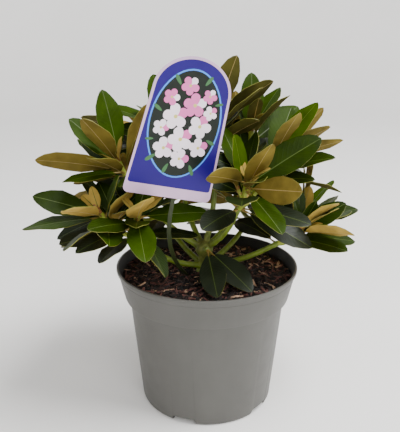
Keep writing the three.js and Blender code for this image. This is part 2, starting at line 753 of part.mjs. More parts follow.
// The old leaves that spread from the node of a mass, the first one straight outwards.
function growOldLeaves(name, mass) {
  grownCount += 1;
  const { swing } = draws(grownCount * SEED_STEP);
  const outwards = (Math.atan2(mass.node.y, mass.node.x) * 180) / Math.PI;
  for (let i = 0; i < mass.old - seenOf(name, -1).length; i++) {
    placeLeaf(name, mass, {
      base: along(mass.node, mass.direction, -OLD_LEAF_SPACING * i),
      axis: UP,
      turn: outwards + GOLDEN_TURN * i + swing(STRAY.turn),
      pitch: OLD_LEAF.pitch + swing(STRAY.pitch),
      length: OLD_LEAF.length * (1 + swing(STRAY.length)),
      bend: OLD_LEAF.bend,
      roll: swing(STRAY.roll / 2),
    });
  }
}

// Leaf and twig solids

function leafSolid(leaf) {
  const side = leaf.face.clone().cross(leaf.direction);
  const ring = (t, half, thick, raise) => {
    const { place, face } = leafMiddle(leaf, t);
    const edge = along(place, face, raise);
    return [
      along(edge, side, half),
      along(place, face, thick / 2),
      along(edge, side, -half),
      along(place, face, -thick / 2),
    ];
  };
  const blade = (u) => {
    const half = bladeHalf(u) * leaf.width;
    return ring(mix(PETIOLE_SHARE, 1, u), half, LEAF_THICKNESS, LEAF_CUP * half);
  };
  return solid(skin([
    ring(0, PETIOLE_HALF, PETIOLE_THICKNESS, 0),
    ring(PETIOLE_SHARE, PETIOLE_HALF, PETIOLE_THICKNESS, 0),
    ...BLADE_STATIONS.map(blade),
    [leafMiddle(leaf, 1).place],
  ]));
}

function twigSolid({ line, axis, end }) {
  const twig = solid(tube(line, (step) => mix(...TWIG_RADIUS, step / TWIG_STEPS), TWIG_SIDES));
  const foot = along(end, axis, -BUD_SINK);
  const bud = [foot, along(foot, axis, BUD_BELLY * BUD_LENGTH), along(foot, axis, BUD_LENGTH)];
  return twig.add(solid(tube(bud, (step) => BUD_RADII[step], TWIG_SIDES)));
}

function massSolid(mass) {
  const stemEnd = along(mass.node, mass.direction, NODE_END);
  let body = solid(tube([mass.start, stemEnd], () => NODE_RADIUS, BOUGH_SIDES));
  mass.grown.forEach((shoot) => {
    body = body.add(twigSolid(shoot));
  });
  mass.leaves.forEach((leaf) => {
    body = body.add(leafSolid(leaf));
  });
  return geometryOf(body);
}

// Assembly

const finish = (color, roughness) => new THREE.MeshStandardMaterial({ color, roughness, metalness: 0 });
const POT_PLASTIC = finish(0x8d8a82, 0.55);
const MIX = finish(0x2e1d14, 0.95);
const WOODY_BARK = finish(0x6b5233, 0.85);
const GREEN_BARK = finish(0x7d8a35, 0.6);
const LEAVES = finish(0x3d5a1c, 0.45);
const LABEL_PRINT = finish(0x4338a0, 0.3);

const plant = new THREE.Group();
function addPiece(name, geometry, material) {
  const mesh = new THREE.Mesh(geometry, material);
  mesh.name = name;
  plant.add(mesh);
}

addPiece("pot", pot(), POT_PLASTIC);
addPiece("bark_mix", barkMix(), MIX);
addPiece("trunk", trunk(), WOODY_BARK);
addPiece("plant_label", geometryOf(solid(labelCard()).add(solid(tail()))), LABEL_PRINT);

const frontStart = along(FORK, heading(FRONT_STEM.turn, FRONT_STEM.lean), KNUCKLE_RADIUS);
const paths = { front_low: [FORK, frontStart] };
for (const [name, shape] of Object.entries(BOUGHS)) {
  paths[name] = boughPath(shape);
  addPiece("bough_" + name, bough(paths[name]), GREEN_BARK);
  occupyLimb(paths[name], BOUGH_RADIUS[0], "bough");
}
occupyLimb([vec(FORK.x, FORK.y, SOIL_LEVEL), FORK], KNUCKLE_RADIUS, "trunk");
occupyLimb(tailPath(), TAIL_WIDTH / 2, "label");

let grownCount = 0;
const masses = {};
for (const [name, shape] of Object.entries(MASSES)) {
  const mass = framework(paths[name], shape);
  masses[name] = mass;
  occupyLimb([mass.start, mass.node], BOUGH_RADIUS[1], name);
  mass.grown.forEach(({ line, end, axis }) => {
    occupyLimb([...line, along(end, axis, BUD_LENGTH)], TWIG_RADIUS[0], name);
  });
}
for (const [name, mass] of Object.entries(masses)) growSeen(name, mass);
for (const [name, mass] of Object.entries(masses)) {
  mass.grown.forEach((shoot) => growWhorl(name, mass, shoot));
  growOldLeaves(name, mass);
  addPiece("foliage_" + name, massSolid(mass), LEAVES);
}

export default plant;
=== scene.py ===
"""Dresses a potted rhododendron: container, bark mix, woody stems, shoots, whorled leaves and label."""

import math
from functools import partial

import bpy
import numpy as np
from bpy.props import FloatProperty, FloatVectorProperty, PointerProperty
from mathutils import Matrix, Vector


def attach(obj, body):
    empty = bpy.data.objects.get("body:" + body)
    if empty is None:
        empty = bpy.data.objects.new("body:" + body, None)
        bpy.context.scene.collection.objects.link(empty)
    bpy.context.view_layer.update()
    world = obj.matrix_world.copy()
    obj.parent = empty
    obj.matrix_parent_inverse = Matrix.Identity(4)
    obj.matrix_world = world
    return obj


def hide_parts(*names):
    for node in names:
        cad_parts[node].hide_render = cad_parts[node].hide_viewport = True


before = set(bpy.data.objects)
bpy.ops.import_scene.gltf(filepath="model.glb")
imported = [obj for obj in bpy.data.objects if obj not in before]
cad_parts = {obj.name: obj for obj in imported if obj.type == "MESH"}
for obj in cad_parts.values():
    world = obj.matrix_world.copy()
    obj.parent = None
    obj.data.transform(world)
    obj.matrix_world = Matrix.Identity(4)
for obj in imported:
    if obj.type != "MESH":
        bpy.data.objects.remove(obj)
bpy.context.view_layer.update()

bl_info = {
    "name": "Potted Rhododendron",
    "version": (1, 0, 0),
    "blender": (4, 5, 0),
    "location": "View3D > Sidebar > Plant",
    "description": "Builds a young rhododendron in a nursery container",
    "category": "Add Mesh",
}

# Lengths below are in millimetres, as the plant was measured. Meshes are made in metres.
MM = 0.001

# Growth rule: sizes
GAP = 0.3
SOIL_LEVEL = 170
POT_HEIGHT = 182.5
LIP_RADIUS = 114
KNUCKLE_RADIUS = 11.5
LOW_BOUGH_RISE = 10
LOW_BOUGH_SEAT = 8.5
BOUGH_RADIUS = (4.1, 3.2)
BOUGH_STEPS = 5
OUTWARD_PULL = 0.4
FULL_PULL_REACH = 40
LOW_BOUGH_LIFT = 0.16
BOUGH_BEND = 0.48
STEM_LENGTH = 8
TWIG_RADIUS = (3.4, 2.8)
TWIG_STEPS = 3
SHOOT_RISE = 0.3
BUD_LENGTH = 15
GOLDEN_TURN = 137.5
LEAF_SPACING = 2.3
OLD_LEAF_SPACING = 1
LEAF_WIDTH_SHARE = 0.39
PETIOLE_SHARE = 0.15
BLADE_FULLNESS = 0.62
BLADE_SHIFT = 1.1
DROOP_SHARE = 0.4
LIGHT_PULL = 0.35
LEAF_CLEARANCE = 4.4
LIMB_CLEARANCE = 2.2
SOIL_CLEARANCE = 4.5
LABEL_CLEARANCE = 4
RIM_CLEARANCE = 6
RIM_HEADROOM = 3
SAMPLE_STEP = 5
CROWDED_SHARE = 0.34
TRIES = 16
SEED_STEP = 7919
ASIDE = {"turn": 7, "pitch": 3, "roll": 4, "length": 0.02}
SPACE_RADIUS = 165
LOWEST_LEAF = 212
LIMB_SAMPLE = 3
STEEP = 0.999
SEEN_AGE = 0.3
OLD_AGE = 1.3

# How each set of leaves is drawn. Pitch from the axis, length, bend and age run from the first leaf to
# the last. Each may stray to either side; where no stray is given, nothing is drawn.
WHORL_RULE = {
    "pitch": (85, 15), "length": (96, 84), "bend": (22, 10), "age": (1, 0),
    "stray": {"turn": 10, "pitch": 10, "length": 0.08, "bend": 0.4, "roll": 40},
}
OLD_RULE = {
    "pitch": (85, 85), "length": (90, 90), "bend": (20, 20), "age": (OLD_AGE, OLD_AGE),
    "stray": {"turn": 10, "pitch": 10, "length": 0.08, "roll": 20},
}


def vec(x, y, z):
    return np.array((x, y, z), float)


UP = vec(0, 0, 1)
FORK = vec(-3, 0, 201)

# Each bough: where it leaves the trunk, and its tip.
BOUGHS = {
    "right_front": ("fork", vec(35, -25, 255)),
    "left_low": ("foot", vec(-85, -30, 225)),
    "left_upper": ("fork", vec(-65, -10, 260)),
    "right_low": ("foot", vec(80, -15, 210)),
    "centre_top": ("fork", vec(10, 10, 285)),
    "right_back": ("fork", vec(45, 25, 260)),
    "back_upper": ("fork", vec(-30, 45, 260)),
    "back_right_low": ("foot", vec(55, 60, 215)),
    "back_left_low": ("foot", vec(-55, 70, 215)),
}
FRONT_STEM = {"turn": -80, "lean": 72}

# Each mass: its old leaves, and the place of each young whorl with its number of leaves.
MASSES = {
    "front_low": (2, []),
    "right_front": (4, [(45, -45, 300, 12), (80, 0, 320, 12)]),
    "left_low": (4, [(-125, -40, 260, 10), (-80, -60, 265, 10)]),
    "left_upper": (3, [(-105, -10, 315, 12), (-45, 5, 330, 10)]),
    "right_low": (3, [(115, -20, 235, 12), (120, 20, 235, 9)]),
    "centre_top": (2, [(10, 20, 360, 12), (-45, 40, 345, 10)]),
    "right_back": (3, [(55, 30, 345, 9), (95, 60, 310, 11), (35, 90, 320, 10)]),
    "back_upper": (3, [(-15, 90, 330, 10), (-80, 75, 335, 10), (-100, 30, 290, 10)]),
    "back_right_low": (3, [(40, 120, 245, 11), (110, 85, 250, 11)]),
    "back_left_low": (3, [(-45, 120, 240, 11), (-105, 100, 250, 11), (-125, 40, 245, 9)]),
}

# Leaves at the front, one by one: the shoot (None for the node), where the tip is seen from VIEWER
# across and down the view, whether it comes forwards, and how much of its upper side it turns to
# the viewer (of its under side where the number is negative).
SEEN_LEAVES = {
    "front_low": (
        (None, 216, 290, True, 1), (None, 250, 286, True, 0.9),
    ),
    "right_front": (
        (0, 199, 174, True, -0.6), (0, 224, 124, False, 0.8), (0, 316, 137, False, 0.9),
        (0, 304, 192, True, -1.0), (0, 283, 226, True, 0.6), (0, 268, 141, True, -0.8),
        (0, 296, 119, False, 0.4), (0, 250, 132, False, 0.5), (1, 294, 110, True, -0.65),
        (1, 312, 102, False, 0.75), (1, 328, 107, True, -0.35), (1, 338, 135, True, -0.5),
        (None, 311, 242, True, 0.8),
    ),
    "left_low": (
        (0, 36, 194, False, 0.9), (0, 64, 204, True, -0.6), (0, 25, 222, False, 0.5),
        (0, 38, 226, True, -0.6), (0, 111, 238, True, 0.9), (0, 87, 173, False, 0.65),
        (0, 123, 187, True, -0.45), (0, 115, 160, False, 0.5), (1, 144, 254, True, 1.0),
        (1, 206, 211, True, 0.7), (1, 174, 198, False, 0.6), (None, 63, 241, True, 0.55),
        (None, 73, 254, True, 0.4),
    ),
    "left_upper": (
        (0, 106, 92, False, 0.9), (0, 86, 116, True, -0.75), (0, 74, 118, False, 0.8),
        (0, 81, 135, False, 0.7), (0, 40, 153, True, -0.55), (0, 52, 164, False, 0.4),
        (0, 92, 152, True, -0.55), (0, 139, 106, True, -0.45),
    ),
    "right_low": (
        (0, 333, 192, False, 0.5), (0, 348, 205, False, 0.5), (0, 353, 228, True, -0.45),
        (0, 319, 197, True, -0.6), (None, 335, 238, True, 0.7),
    ),
    "centre_top": (
        (0, 232, 57, True, -0.8), (0, 267, 78, True, -0.55), (0, 245, 64, False, 0.35),
    ),
    "right_back": (
        (0, 251, 90, False, 0.5), (0, 267, 84, False, 0.7),
    ),
}
VIEWER = vec(-8.5, -712, 474)
VIEWER_DROP = 17.89
VIEW_REACH = 603
VIEW_MIDDLE = (200, 216)
SEEN_LENGTH = (82, 104)
SEEN_SLACK = 1.05
SEEN_BEND = 12
SEEN_ASIDE = 0.07

# Label
LABEL_WIDTH = 101
# How much narrower it is at the shoulders.
LABEL_TAPER = 0.14
LABEL_HEIGHT = 153
LABEL_ARCH = 38
LABEL_CORNER = 6
LABEL_FOOT = vec(-45, -79, 291)
LABEL_LEAN = 13.5
LABEL_FORWARD = 5
LABEL_YAW = 18.5
LABEL_THICKNESS = 0.8
TAIL_WIDTH = 5
TAIL_FOOT = vec(-24, -14, SOIL_LEVEL + GAP)
TAIL_ACROSS = 8
TAIL_OVERLAP = 14
TAIL_DROP = 70
TAIL_END = 2


# Growth rule: helpers

def mix(a, b, share):
    return a + (b - a) * share


def unit(v):
    return v / np.linalg.norm(v)


def heading(turn, lean):
    """A unit vector from a compass angle and a lean from upright, in degrees."""
    t, l = math.radians(turn), math.radians(lean)
    return vec(math.sin(l) * math.cos(t), math.sin(l) * math.sin(t), math.cos(l))


LIGHT = heading(-90, 20)


class Draws:
    """Repeatable draws between 0 and 1, and swings to each side of 0."""

    def __init__(self, seed):
        self.state = seed

    def draw(self):
        self.state = (self.state * 1664525 + 1013904223) % 2**32
        return self.state / 2**32

    def swing(self, reach):
        return mix(-reach, reach, self.draw())

    def factor(self, reach):
        """A factor round 1. Without a reach it is 1, and nothing is drawn."""
        return 1 + self.swing(reach) if reach else 1


def bow(start, bend, end, steps):
    """Points on the curve that leaves start towards bend and ends at end."""
    shares = np.linspace(0, 1, steps + 1)[:, None]
    return (1 - shares) ** 2 * start + 2 * (1 - shares) * shares * bend + shares**2 * end


def path_direction(path, step):
    return unit(path[min(step + 1, len(path) - 1)] - path[max(step - 1, 0)])


def bough_curve(root, tip):
    """Start, bend point and end of a bough."""
    outward = unit((tip - FORK) * (1, 1, 0))
    if root == "fork":
        pull = OUTWARD_PULL * min(1, math.hypot(tip[0], tip[1]) / FULL_PULL_REACH)
        leaving = unit(unit(tip - FORK) + outward * pull)
        start = FORK + leaving * (KNUCKLE_RADIUS + GAP)
    else:
        leaving = unit(outward + UP * LOW_BOUGH_LIFT)
        shaft = vec(FORK[0], FORK[1], SOIL_LEVEL + LOW_BOUGH_RISE)
        start = shaft + outward * (LOW_BOUGH_SEAT + GAP)
    return start, start + leaving * BOUGH_BEND * np.linalg.norm(tip - start), tip


def turn_about(axis, angle):
    """The matrix of a turn about one axis, in degrees."""
    c, s = math.cos(math.radians(angle)), math.sin(math.radians(angle))
    if axis == "X":
        return np.array(((1, 0, 0), (0, c, -s), (0, s, c)))
    if axis == "Y":
        return np.array(((c, 0, s), (0, 1, 0), (-s, 0, c)))
    return np.array(((c, -s, 0), (s, c, 0), (0, 0, 1)))


LABEL_TURN = turn_about("Z", LABEL_YAW) @ turn_about("X", LABEL_FORWARD)
LABEL_TURN = LABEL_TURN @ turn_about("Y", LABEL_LEAN)


def on_label(points):
    """Label coordinates (across, depth, up) to the plant's."""
    return np.asarray(points, float) @ LABEL_TURN.T + LABEL_FOOT


def tail_path():
    top = on_label((TAIL_ACROSS, LABEL_THICKNESS / 2, TAIL_OVERLAP))
    bottom = on_label((TAIL_ACROSS, LABEL_THICKNESS / 2, TAIL_END))
    line = bow(TAIL_FOOT, bottom + unit(bottom - top) * TAIL_DROP, bottom, 6)
    return np.vstack((line, top))


# Growth rule: leaves and the room they keep

def blade_half(u):
    """The half width of a blade at share u of its length, for a blade 1 wide."""
    return 0.5 * math.sin(math.pi * u**BLADE_SHIFT) ** BLADE_FULLNESS


def flattened(v, direction):
    """The part of v that is square to a direction, 1 long."""
    return unit(v - direction * v.dot(direction))


def drawn_leaf(base, axis, turn, pitch, length, bend, roll, step, side):
    """A leaf by the rule, moved a little aside: it leaves axis at pitch and faces the light."""
    level = vec(1, 0, 0) if abs(axis[2]) > STEEP else unit(np.cross(axis, UP))
    other = np.cross(axis, level)
    t = math.radians(turn + ASIDE["turn"] * side)
    p = math.radians(pitch - ASIDE["pitch"] * step)
    r = math.radians(roll - ASIDE["roll"] * side)
    radial = level * math.cos(t) + other * math.sin(t)
    direction = axis * math.cos(p) + radial * math.sin(p)
    direction[2] *= DROOP_SHARE if direction[2] < 0 else 1
    direction = unit(direction)
    face = flattened(axis * math.sin(p) - radial * math.cos(p), direction)
    face = unit(face * (1 - LIGHT_PULL) + flattened(LIGHT, direction) * LIGHT_PULL)
    face = face * math.cos(r) + np.cross(face, direction) * math.sin(r)
    return Leaf(base, direction, face, length * (1 - ASIDE["length"] * step), bend)


def sight(across, down):
    """The direction from VIEWER in which a place of the view lies."""
    drop = math.radians(VIEWER_DROP)
    ahead = vec(0, math.cos(drop), -math.sin(drop))
    upwards = vec(0, math.sin(drop), math.cos(drop))
    sideways = vec(1, 0, 0) * (across - VIEW_MIDDLE[0])
    return unit(ahead * VIEW_REACH + sideways + upwards * (VIEW_MIDDLE[1] - down))


def seen_leaf(base, seen, step, side):
    """A measured leaf, moved a little aside."""
    _, across, down, forwards, shown = seen
    ray = sight(across, down)
    nearest = VIEWER + ray * (base - VIEWER).dot(ray)
    off = np.linalg.norm(nearest - base)
    length = min(SEEN_LENGTH[1], max(SEEN_LENGTH[0], off * SEEN_SLACK))
    depth = math.sqrt(max(0, (length / SEEN_SLACK) ** 2 - off**2)) * (-1 if forwards else 1)
    direction = unit(nearest + ray * depth - base)
    to_viewer = flattened(VIEWER - base, direction)
    aslant = np.cross(direction, to_viewer)
    aslant *= math.copysign(math.sqrt(1 - shown**2), aslant[2])
    face = to_viewer * shown + aslant
    direction = unit(direction + np.cross(face, direction) * SEEN_ASIDE * side)
    length *= 1 - ASIDE["length"] * step
    return Leaf(base, direction, flattened(face, direction), length, SEEN_BEND)


class Leaf:
    """A leaf by its base, the direction that it leaves in, and the one that its upper side faces."""

    def __init__(self, base, direction, face, length, bend):
        self.base = base
        self.direction = direction
        self.face = face
        self.side = np.cross(face, direction)
        self.length = length
        self.width = length * LEAF_WIDTH_SHARE
        self.bend = math.radians(bend)
        self.age = 0.0

    def middle(self, t):
        """The place at share t of the length, and the upper face's direction there."""
        turn = self.bend * t
        reach = self.length * math.sin(turn) / self.bend
        drop = self.length * (1 - math.cos(turn)) / self.bend
        place = self.base + self.direction * reach - self.face * drop
        return place, self.face * math.cos(turn) + self.direction * math.sin(turn)

    def points(self):
        """Points spread over the leaf, and each one's share of the length."""
        places, shares = [], []
        steps = math.ceil(self.length / SAMPLE_STEP)
        for i in range(1, steps + 1):
            t = i / steps
            u = (t - PETIOLE_SHARE) / (1 - PETIOLE_SHARE)
            half = blade_half(u) * self.width if 0 < u < 1 else 0
            rows = math.ceil(2 * half / SAMPLE_STEP)
            across = half * (2 * np.arange(rows + 1) / rows - 1) if rows else np.zeros(1)
            places.append(self.middle(t)[0] + np.outer(across, self.side))
            shares.append(np.full(len(across), t))
        return np.vstack(places), np.concatenate(shares)


class Room:
    """Everything that a new leaf must keep clear of."""

    def __init__(self):
        self.groups = []

    def occupy(self, places, radius, mass, shares, is_leaf):
        centre = places.mean(0)
        reach = np.linalg.norm(places - centre, axis=1).max() + radius
        self.groups.append((centre, reach, places, radius, mass, shares, is_leaf))

    def occupy_limb(self, path, radius, mass):
        places = []
        for a, b in zip(path[:-1], path[1:]):
            steps = math.ceil(np.linalg.norm(b - a) / LIMB_SAMPLE)
            places.append(a + (b - a) * (np.arange(steps + 1) / steps)[:, None])
        places = np.vstack(places)
        self.occupy(places, radius + LIMB_CLEARANCE, mass, np.ones(len(places)), False)

    def is_near(self, places, mass, shares, squeeze):
        """Leaves of one mass may crowd each other near their roots."""
        centre = places.mean(0)
        reach = np.linalg.norm(places - centre, axis=1).max()
        for other_centre, other_reach, others, radius, other_mass, other_shares, is_leaf in self.groups:
            if np.linalg.norm(other_centre - centre) > reach + other_reach:
                continue
            limit = radius * (squeeze if is_leaf else 1)
            near = ((places[:, None] - others[None]) ** 2).sum(2) < limit**2
            if other_mass == mass:
                near &= (shares >= CROWDED_SHARE)[:, None] & (other_shares >= CROWDED_SHARE)[None]
            if near.any():
                return True
        return False


def is_barred(places, centre):
    """True where a point lies in the label, the rim, the mix or outside the mass's space."""
    card = (places - LABEL_FOOT) @ LABEL_TURN
    off = LABEL_CLEARANCE
    in_card = (abs(card[:, 0]) < LABEL_WIDTH / 2 + off) & (abs(card[:, 1]) < off)
    in_card &= (card[:, 2] > -off) & (card[:, 2] < LABEL_HEIGHT + off)
    out = np.hypot(places[:, 0], places[:, 1])
    height = places[:, 2]
    low = height < np.where(out < LIP_RADIUS, SOIL_LEVEL + SOIL_CLEARANCE, LOWEST_LEAF)
    at_rim = (abs(out - LIP_RADIUS) < RIM_CLEARANCE) & (height < POT_HEIGHT + RIM_HEADROOM)
    far = np.linalg.norm(places - centre, axis=1) > SPACE_RADIUS
    return bool((in_card | low | at_rim | far).any())


# Rows of points along a shoot, as it is seen. The rule itself uses TWIG_STEPS.
SHOOT_ROWS = 16


class Shoot:
    """A young shoot from a mass's node to its whorl."""

    def __init__(self, node, end, leaves):
        self.bend = (node + end) / 2 - UP * SHOOT_RISE * np.linalg.norm(end - node)
        self.start = node
        self.end = end
        self.line = bow(node, self.bend, end, TWIG_STEPS)
        self.axis = unit(end - self.bend)
        self.leaves = leaves

    def smooth(self, steps=SHOOT_ROWS):
        return bow(self.start, self.bend, self.end, steps)

    def place_back(self, distance):
        """The place on the line at a distance back from its end."""
        left = distance
        for a, b in zip(self.line[::-1][:-1], self.line[::-1][1:]):
            step = np.linalg.norm(b - a)
            if left <= step:
                return a + (b - a) * left / step
            left -= step
        return self.line[0]


class Mass:
    """A stem, its shoots and their leaves."""

    def __init__(self, name, path, old, whorls):
        self.name = name
        self.direction = path_direction(path, len(path) - 1)
        self.start = path[-1] + self.direction * GAP
        self.node = path[-1] + self.direction * (GAP + STEM_LENGTH)
        self.old = old
        self.shoots = [Shoot(self.node, vec(x, y, z), leaves) for x, y, z, leaves in whorls]
        self.leaves = []
        self.spurs = []

    def place_leaf(self, room, make, age, squeeze=1.0, tries=TRIES):
        """Makes a leaf as asked, then a little more to each side, and keeps the first clear one."""
        for attempt in range(tries):
            step = math.ceil(attempt / 2)
            leaf = make(step, step if attempt % 2 else -step)
            places, shares = leaf.points()
            if is_barred(places, self.node) or room.is_near(places, self.name, shares, squeeze):
                continue
            room.occupy(places, LEAF_CLEARANCE, self.name, shares, True)
            leaf.age = age
            self.leaves.append(leaf)
            return

    def seen(self, number):
        """The measured leaves of one shoot, or of the node."""
        return [seen for seen in SEEN_LEAVES.get(self.name, ()) if seen[0] == number]

    def grow_seen(self, room):
        """The measured leaves, before any others: they sit just under the bud, or at the node."""
        for number, shoot in enumerate(self.shoots):
            for i, seen in enumerate(self.seen(number)):
                base = shoot.place_back(LEAF_SPACING * (i + 1))
                self.place_leaf(room, partial(seen_leaf, base, seen), SEEN_AGE)
        for seen in self.seen(None):
            self.place_leaf(room, partial(seen_leaf, self.node, seen), OLD_AGE)

    def grow_set(self, room, dice, rule, bases, axis, first_turn):
        """Leaves by one rule, each a golden turn on from the one before it."""
        stray = rule["stray"]
        for i, base in enumerate(bases):
            share = i / max(1, len(bases) - 1)
            turn = first_turn + GOLDEN_TURN * i + dice.swing(stray["turn"])
            pitch = mix(*rule["pitch"], share) + dice.swing(stray["pitch"])
            length = mix(*rule["length"], share) * dice.factor(stray.get("length"))
            bend = mix(*rule["bend"], share) * dice.factor(stray.get("bend"))
            make = partial(drawn_leaf, base, axis, turn, pitch, length, bend, dice.swing(stray["roll"]))
            age = mix(*rule["age"], share)
            self.place_leaf(room, make, age, rule.get("squeeze", 1.0), rule.get("tries", TRIES))

    def grow_whorl(self, room, shoot, number):
        left = shoot.leaves - len(self.seen(self.shoots.index(shoot)))
        bases = [shoot.place_back(LEAF_SPACING * (shoot.leaves - i)) for i in range(left)]
        turn = GOLDEN_TURN * number
        self.grow_set(room, Draws(number * SEED_STEP), WHORL_RULE, bases, shoot.axis, turn)

    def grow_old_leaves(self, room, number):
        left = self.old - len(self.seen(None))
        bases = [self.node - self.direction * OLD_LEAF_SPACING * i for i in range(left)]
        outwards = math.degrees(math.atan2(self.node[1], self.node[0]))
        self.grow_set(room, Draws(number * SEED_STEP), OLD_RULE, bases, UP, outwards)


def grow_plant():
    """All the masses, with their leaves, by the rule, and the room that they take."""
    room = Room()
    paths = {"front_low": np.array((FORK, FORK + heading(**FRONT_STEM) * KNUCKLE_RADIUS))}
    for name, (root, tip) in BOUGHS.items():
        paths[name] = bow(*bough_curve(root, tip), BOUGH_STEPS)
        room.occupy_limb(paths[name], BOUGH_RADIUS[0], "bough")
    room.occupy_limb(np.array((FORK * (1, 1, 0) + UP * SOIL_LEVEL, FORK)), KNUCKLE_RADIUS, "trunk")
    room.occupy_limb(tail_path(), TAIL_WIDTH / 2, "label")
    masses = {name: Mass(name, paths[name], old, whorls) for name, (old, whorls) in MASSES.items()}
    for mass in masses.values():
        room.occupy_limb(np.array((mass.start, mass.node)), BOUGH_RADIUS[1], mass.name)
        for shoot in mass.shoots:
            tip = shoot.end + shoot.axis * BUD_LENGTH
            room.occupy_limb(np.vstack((shoot.line, tip)), TWIG_RADIUS[0], mass.name)
    for mass in masses.values():
        mass.grow_seen(room)
    number = 0
    for mass in masses.values():
        for shoot in mass.shoots:
            number += 1
            mass.grow_whorl(room, shoot, number)
        number += 1
        mass.grow_old_leaves(room, number)
    return masses, room


# Finer growth, which the solids leave to the scene: small leaves round each bud, more leaves in the
# gaps of each whorl, and a short spur twig on each shoot, all within the same spaces.
BUD_LEAVES = 4
BUD_RULE = {
    "pitch": (42, 22), "length": (42, 26), "bend": (12, 12), "age": (0, 0), "squeeze": 0.35, "tries": 6,
    "stray": {"turn": 180, "pitch": 5, "length": 0.12, "bend": 0.4, "roll": 15},
}
FILLER_LEAVES = 4
FILLER_RULE = {
    "pitch": (88, 30), "length": (88, 58), "bend": (22, 10), "age": (0.9, 0.3), "squeeze": 0.55,
    "stray": {"turn": 180, "pitch": 10, "length": 0.08, "roll": 18},
}
LAST_FILLER = 2
SPUR_LEAVES = 5
SPUR_RULE = {
    "pitch": (75, 30), "length": (72, 50), "bend": (16, 16), "age": (0.7, 0.7), "squeeze": 0.55,
    "stray": {"turn": 20, "pitch": 10, "roll": 18},
}
SPUR_LENGTH = 20
SPUR_STRAY = 0.25
SPUR_LEAN = 50
SPUR_LEAF_SPACING = 1.5
FINER_NUMBERS = 500


def grow_bud_leaves(mass, room, shoot, dice):
    shares = np.arange(BUD_LEAVES) / (BUD_LEAVES - 1)
    bases = [shoot.end - shoot.axis * (1 - share) for share in shares]
    mass.grow_set(room, dice, BUD_RULE, bases, shoot.axis, 0)


def grow_fillers(mass, room, shoot, dice):
    shares = np.arange(FILLER_LEAVES) / (FILLER_LEAVES - 1)
    bases = [shoot.place_back(mix(LEAF_SPACING * shoot.leaves, LAST_FILLER, share)) for share in shares]
    mass.grow_set(room, dice, FILLER_RULE, bases, shoot.axis, GOLDEN_TURN / 2)


def grow_spur(mass, room, shoot, dice):
    """A short side twig half way up a shoot, with a few leaves."""
    start = shoot.smooth(2)[1]
    axis = unit(shoot.axis + heading(dice.draw() * 360, SPUR_LEAN))
    end = start + axis * SPUR_LENGTH * dice.factor(SPUR_STRAY)
    before = len(mass.leaves)
    bases = [end - axis * SPUR_LEAF_SPACING * (SPUR_LEAVES - i) for i in range(SPUR_LEAVES)]
    mass.grow_set(room, dice, SPUR_RULE, bases, axis, 0)
    if len(mass.leaves) > before:
        mass.spurs.append((start, end, axis))


def grow_finer(masses, room):
    number = FINER_NUMBERS
    for mass in masses.values():
        for shoot in mass.shoots:
            number += 1
            dice = Draws(number * SEED_STEP)
            grow_bud_leaves(mass, room, shoot, dice)
            grow_fillers(mass, room, shoot, dice)
            grow_spur(mass, room, shoot, dice)


# Materials: shader maths as Python expressions

class Value:
    """A socket that can be used in Python expressions."""

    def __init__(self, finish, socket):
        self.finish = finish
        self.socket = socket

    def maths(self, operation, first, second):
        return self.finish.node("ShaderNodeMath", {"operation": operation}, {0: first, 1: second})

    def __add__(self, other):
        return self.maths("ADD", self, other)

    def __mul__(self, other):
        return self.maths("MULTIPLY", self, other)

    def __sub__(self, other):
        return self.maths("SUBTRACT", self, other)

    def __rsub__(self, other):
        return self.maths("SUBTRACT", other, self)

    def __pow__(self, other):
        return self.maths("POWER", self, other)

    __radd__ = __add__
    __rmul__ = __mul__


class Finish:
    """One procedural material, built up in maker's terms."""

    def __init__(self, name, roughness=0.5, **constants):
        self.material = bpy.data.materials.new(name)
        self.material.use_nodes = True
        self.tree = self.material.node_tree
        self.shader = self.tree.nodes["Principled BSDF"]
        self.shader.inputs["Roughness"].default_value = roughness
        for socket, value in constants.items():
            self.shader.inputs[socket.replace("_", " ")].default_value = value

    def node(self, kind, settings=None, values=None, output=0):
        """Any node: its settings first, then values or links for its sockets."""
        made = self.tree.nodes.new(kind)
        for key, setting in (settings or {}).items():
            if key == "stops":
                self.set_stops(made.color_ramp, setting)
            else:
                setattr(made, key, setting)
        for key, value in (values or {}).items():
            self.feed(made.inputs[key], value)
        return Value(self, made.outputs[output])

    def set_stops(self, ramp, stops):
        while len(ramp.elements) < len(stops):
            ramp.elements.new(0.5)
        for element, (place, colour) in zip(ramp.elements, stops):
            element.position = place
            element.color = (*colour, 1)

    def feed(self, socket, value):
        if isinstance(value, Value):
            self.tree.links.new(value.socket, socket)
        elif socket.type == "RGBA":
            socket.default_value = (*value, 1)
        else:
            socket.default_value = value

    def place(self, stretch=(1, 1, 1)):
        """Object coordinates, stretched."""
        at = self.node("ShaderNodeTexCoord", output="Object")
        return self.node("ShaderNodeMapping", values={"Vector": at, "Scale": stretch})

    def noise(self, scale, detail=3, stretch=(1, 1, 1)):
        values = {"Vector": self.place(stretch), "Scale": scale, "Detail": detail}
        return self.node("ShaderNodeTexNoise", values=values, output="Fac")

    def ramp(self, fac, stops):
        return self.node("ShaderNodeValToRGB", {"stops": stops}, {"Fac": fac})

    def shades(self, fac, colour, dark, light):
        """A pattern's colours: from a darker to a lighter shade of one colour."""
        return self.ramp(fac, [(0.3, shade(colour, dark)), (0.7, shade(colour, light))])

    def blend(self, fac, first, second):
        """Two colours by a share. The numbers are the mix node's own for its colour sockets."""
        return self.node("ShaderNodeMix", {"data_type": "RGBA"}, {0: fac, 6: first, 7: second}, 2)

    def colour(self, value):
        self.feed(self.shader.inputs["Base Color"], value)

    def rough(self, value):
        self.feed(self.shader.inputs["Roughness"], value)

    def bump(self, height, distance, strength=1.0):
        values = {"Height": height, "Distance": distance, "Strength": strength}
        self.feed(self.shader.inputs["Normal"], self.node("ShaderNodeBump", values=values))


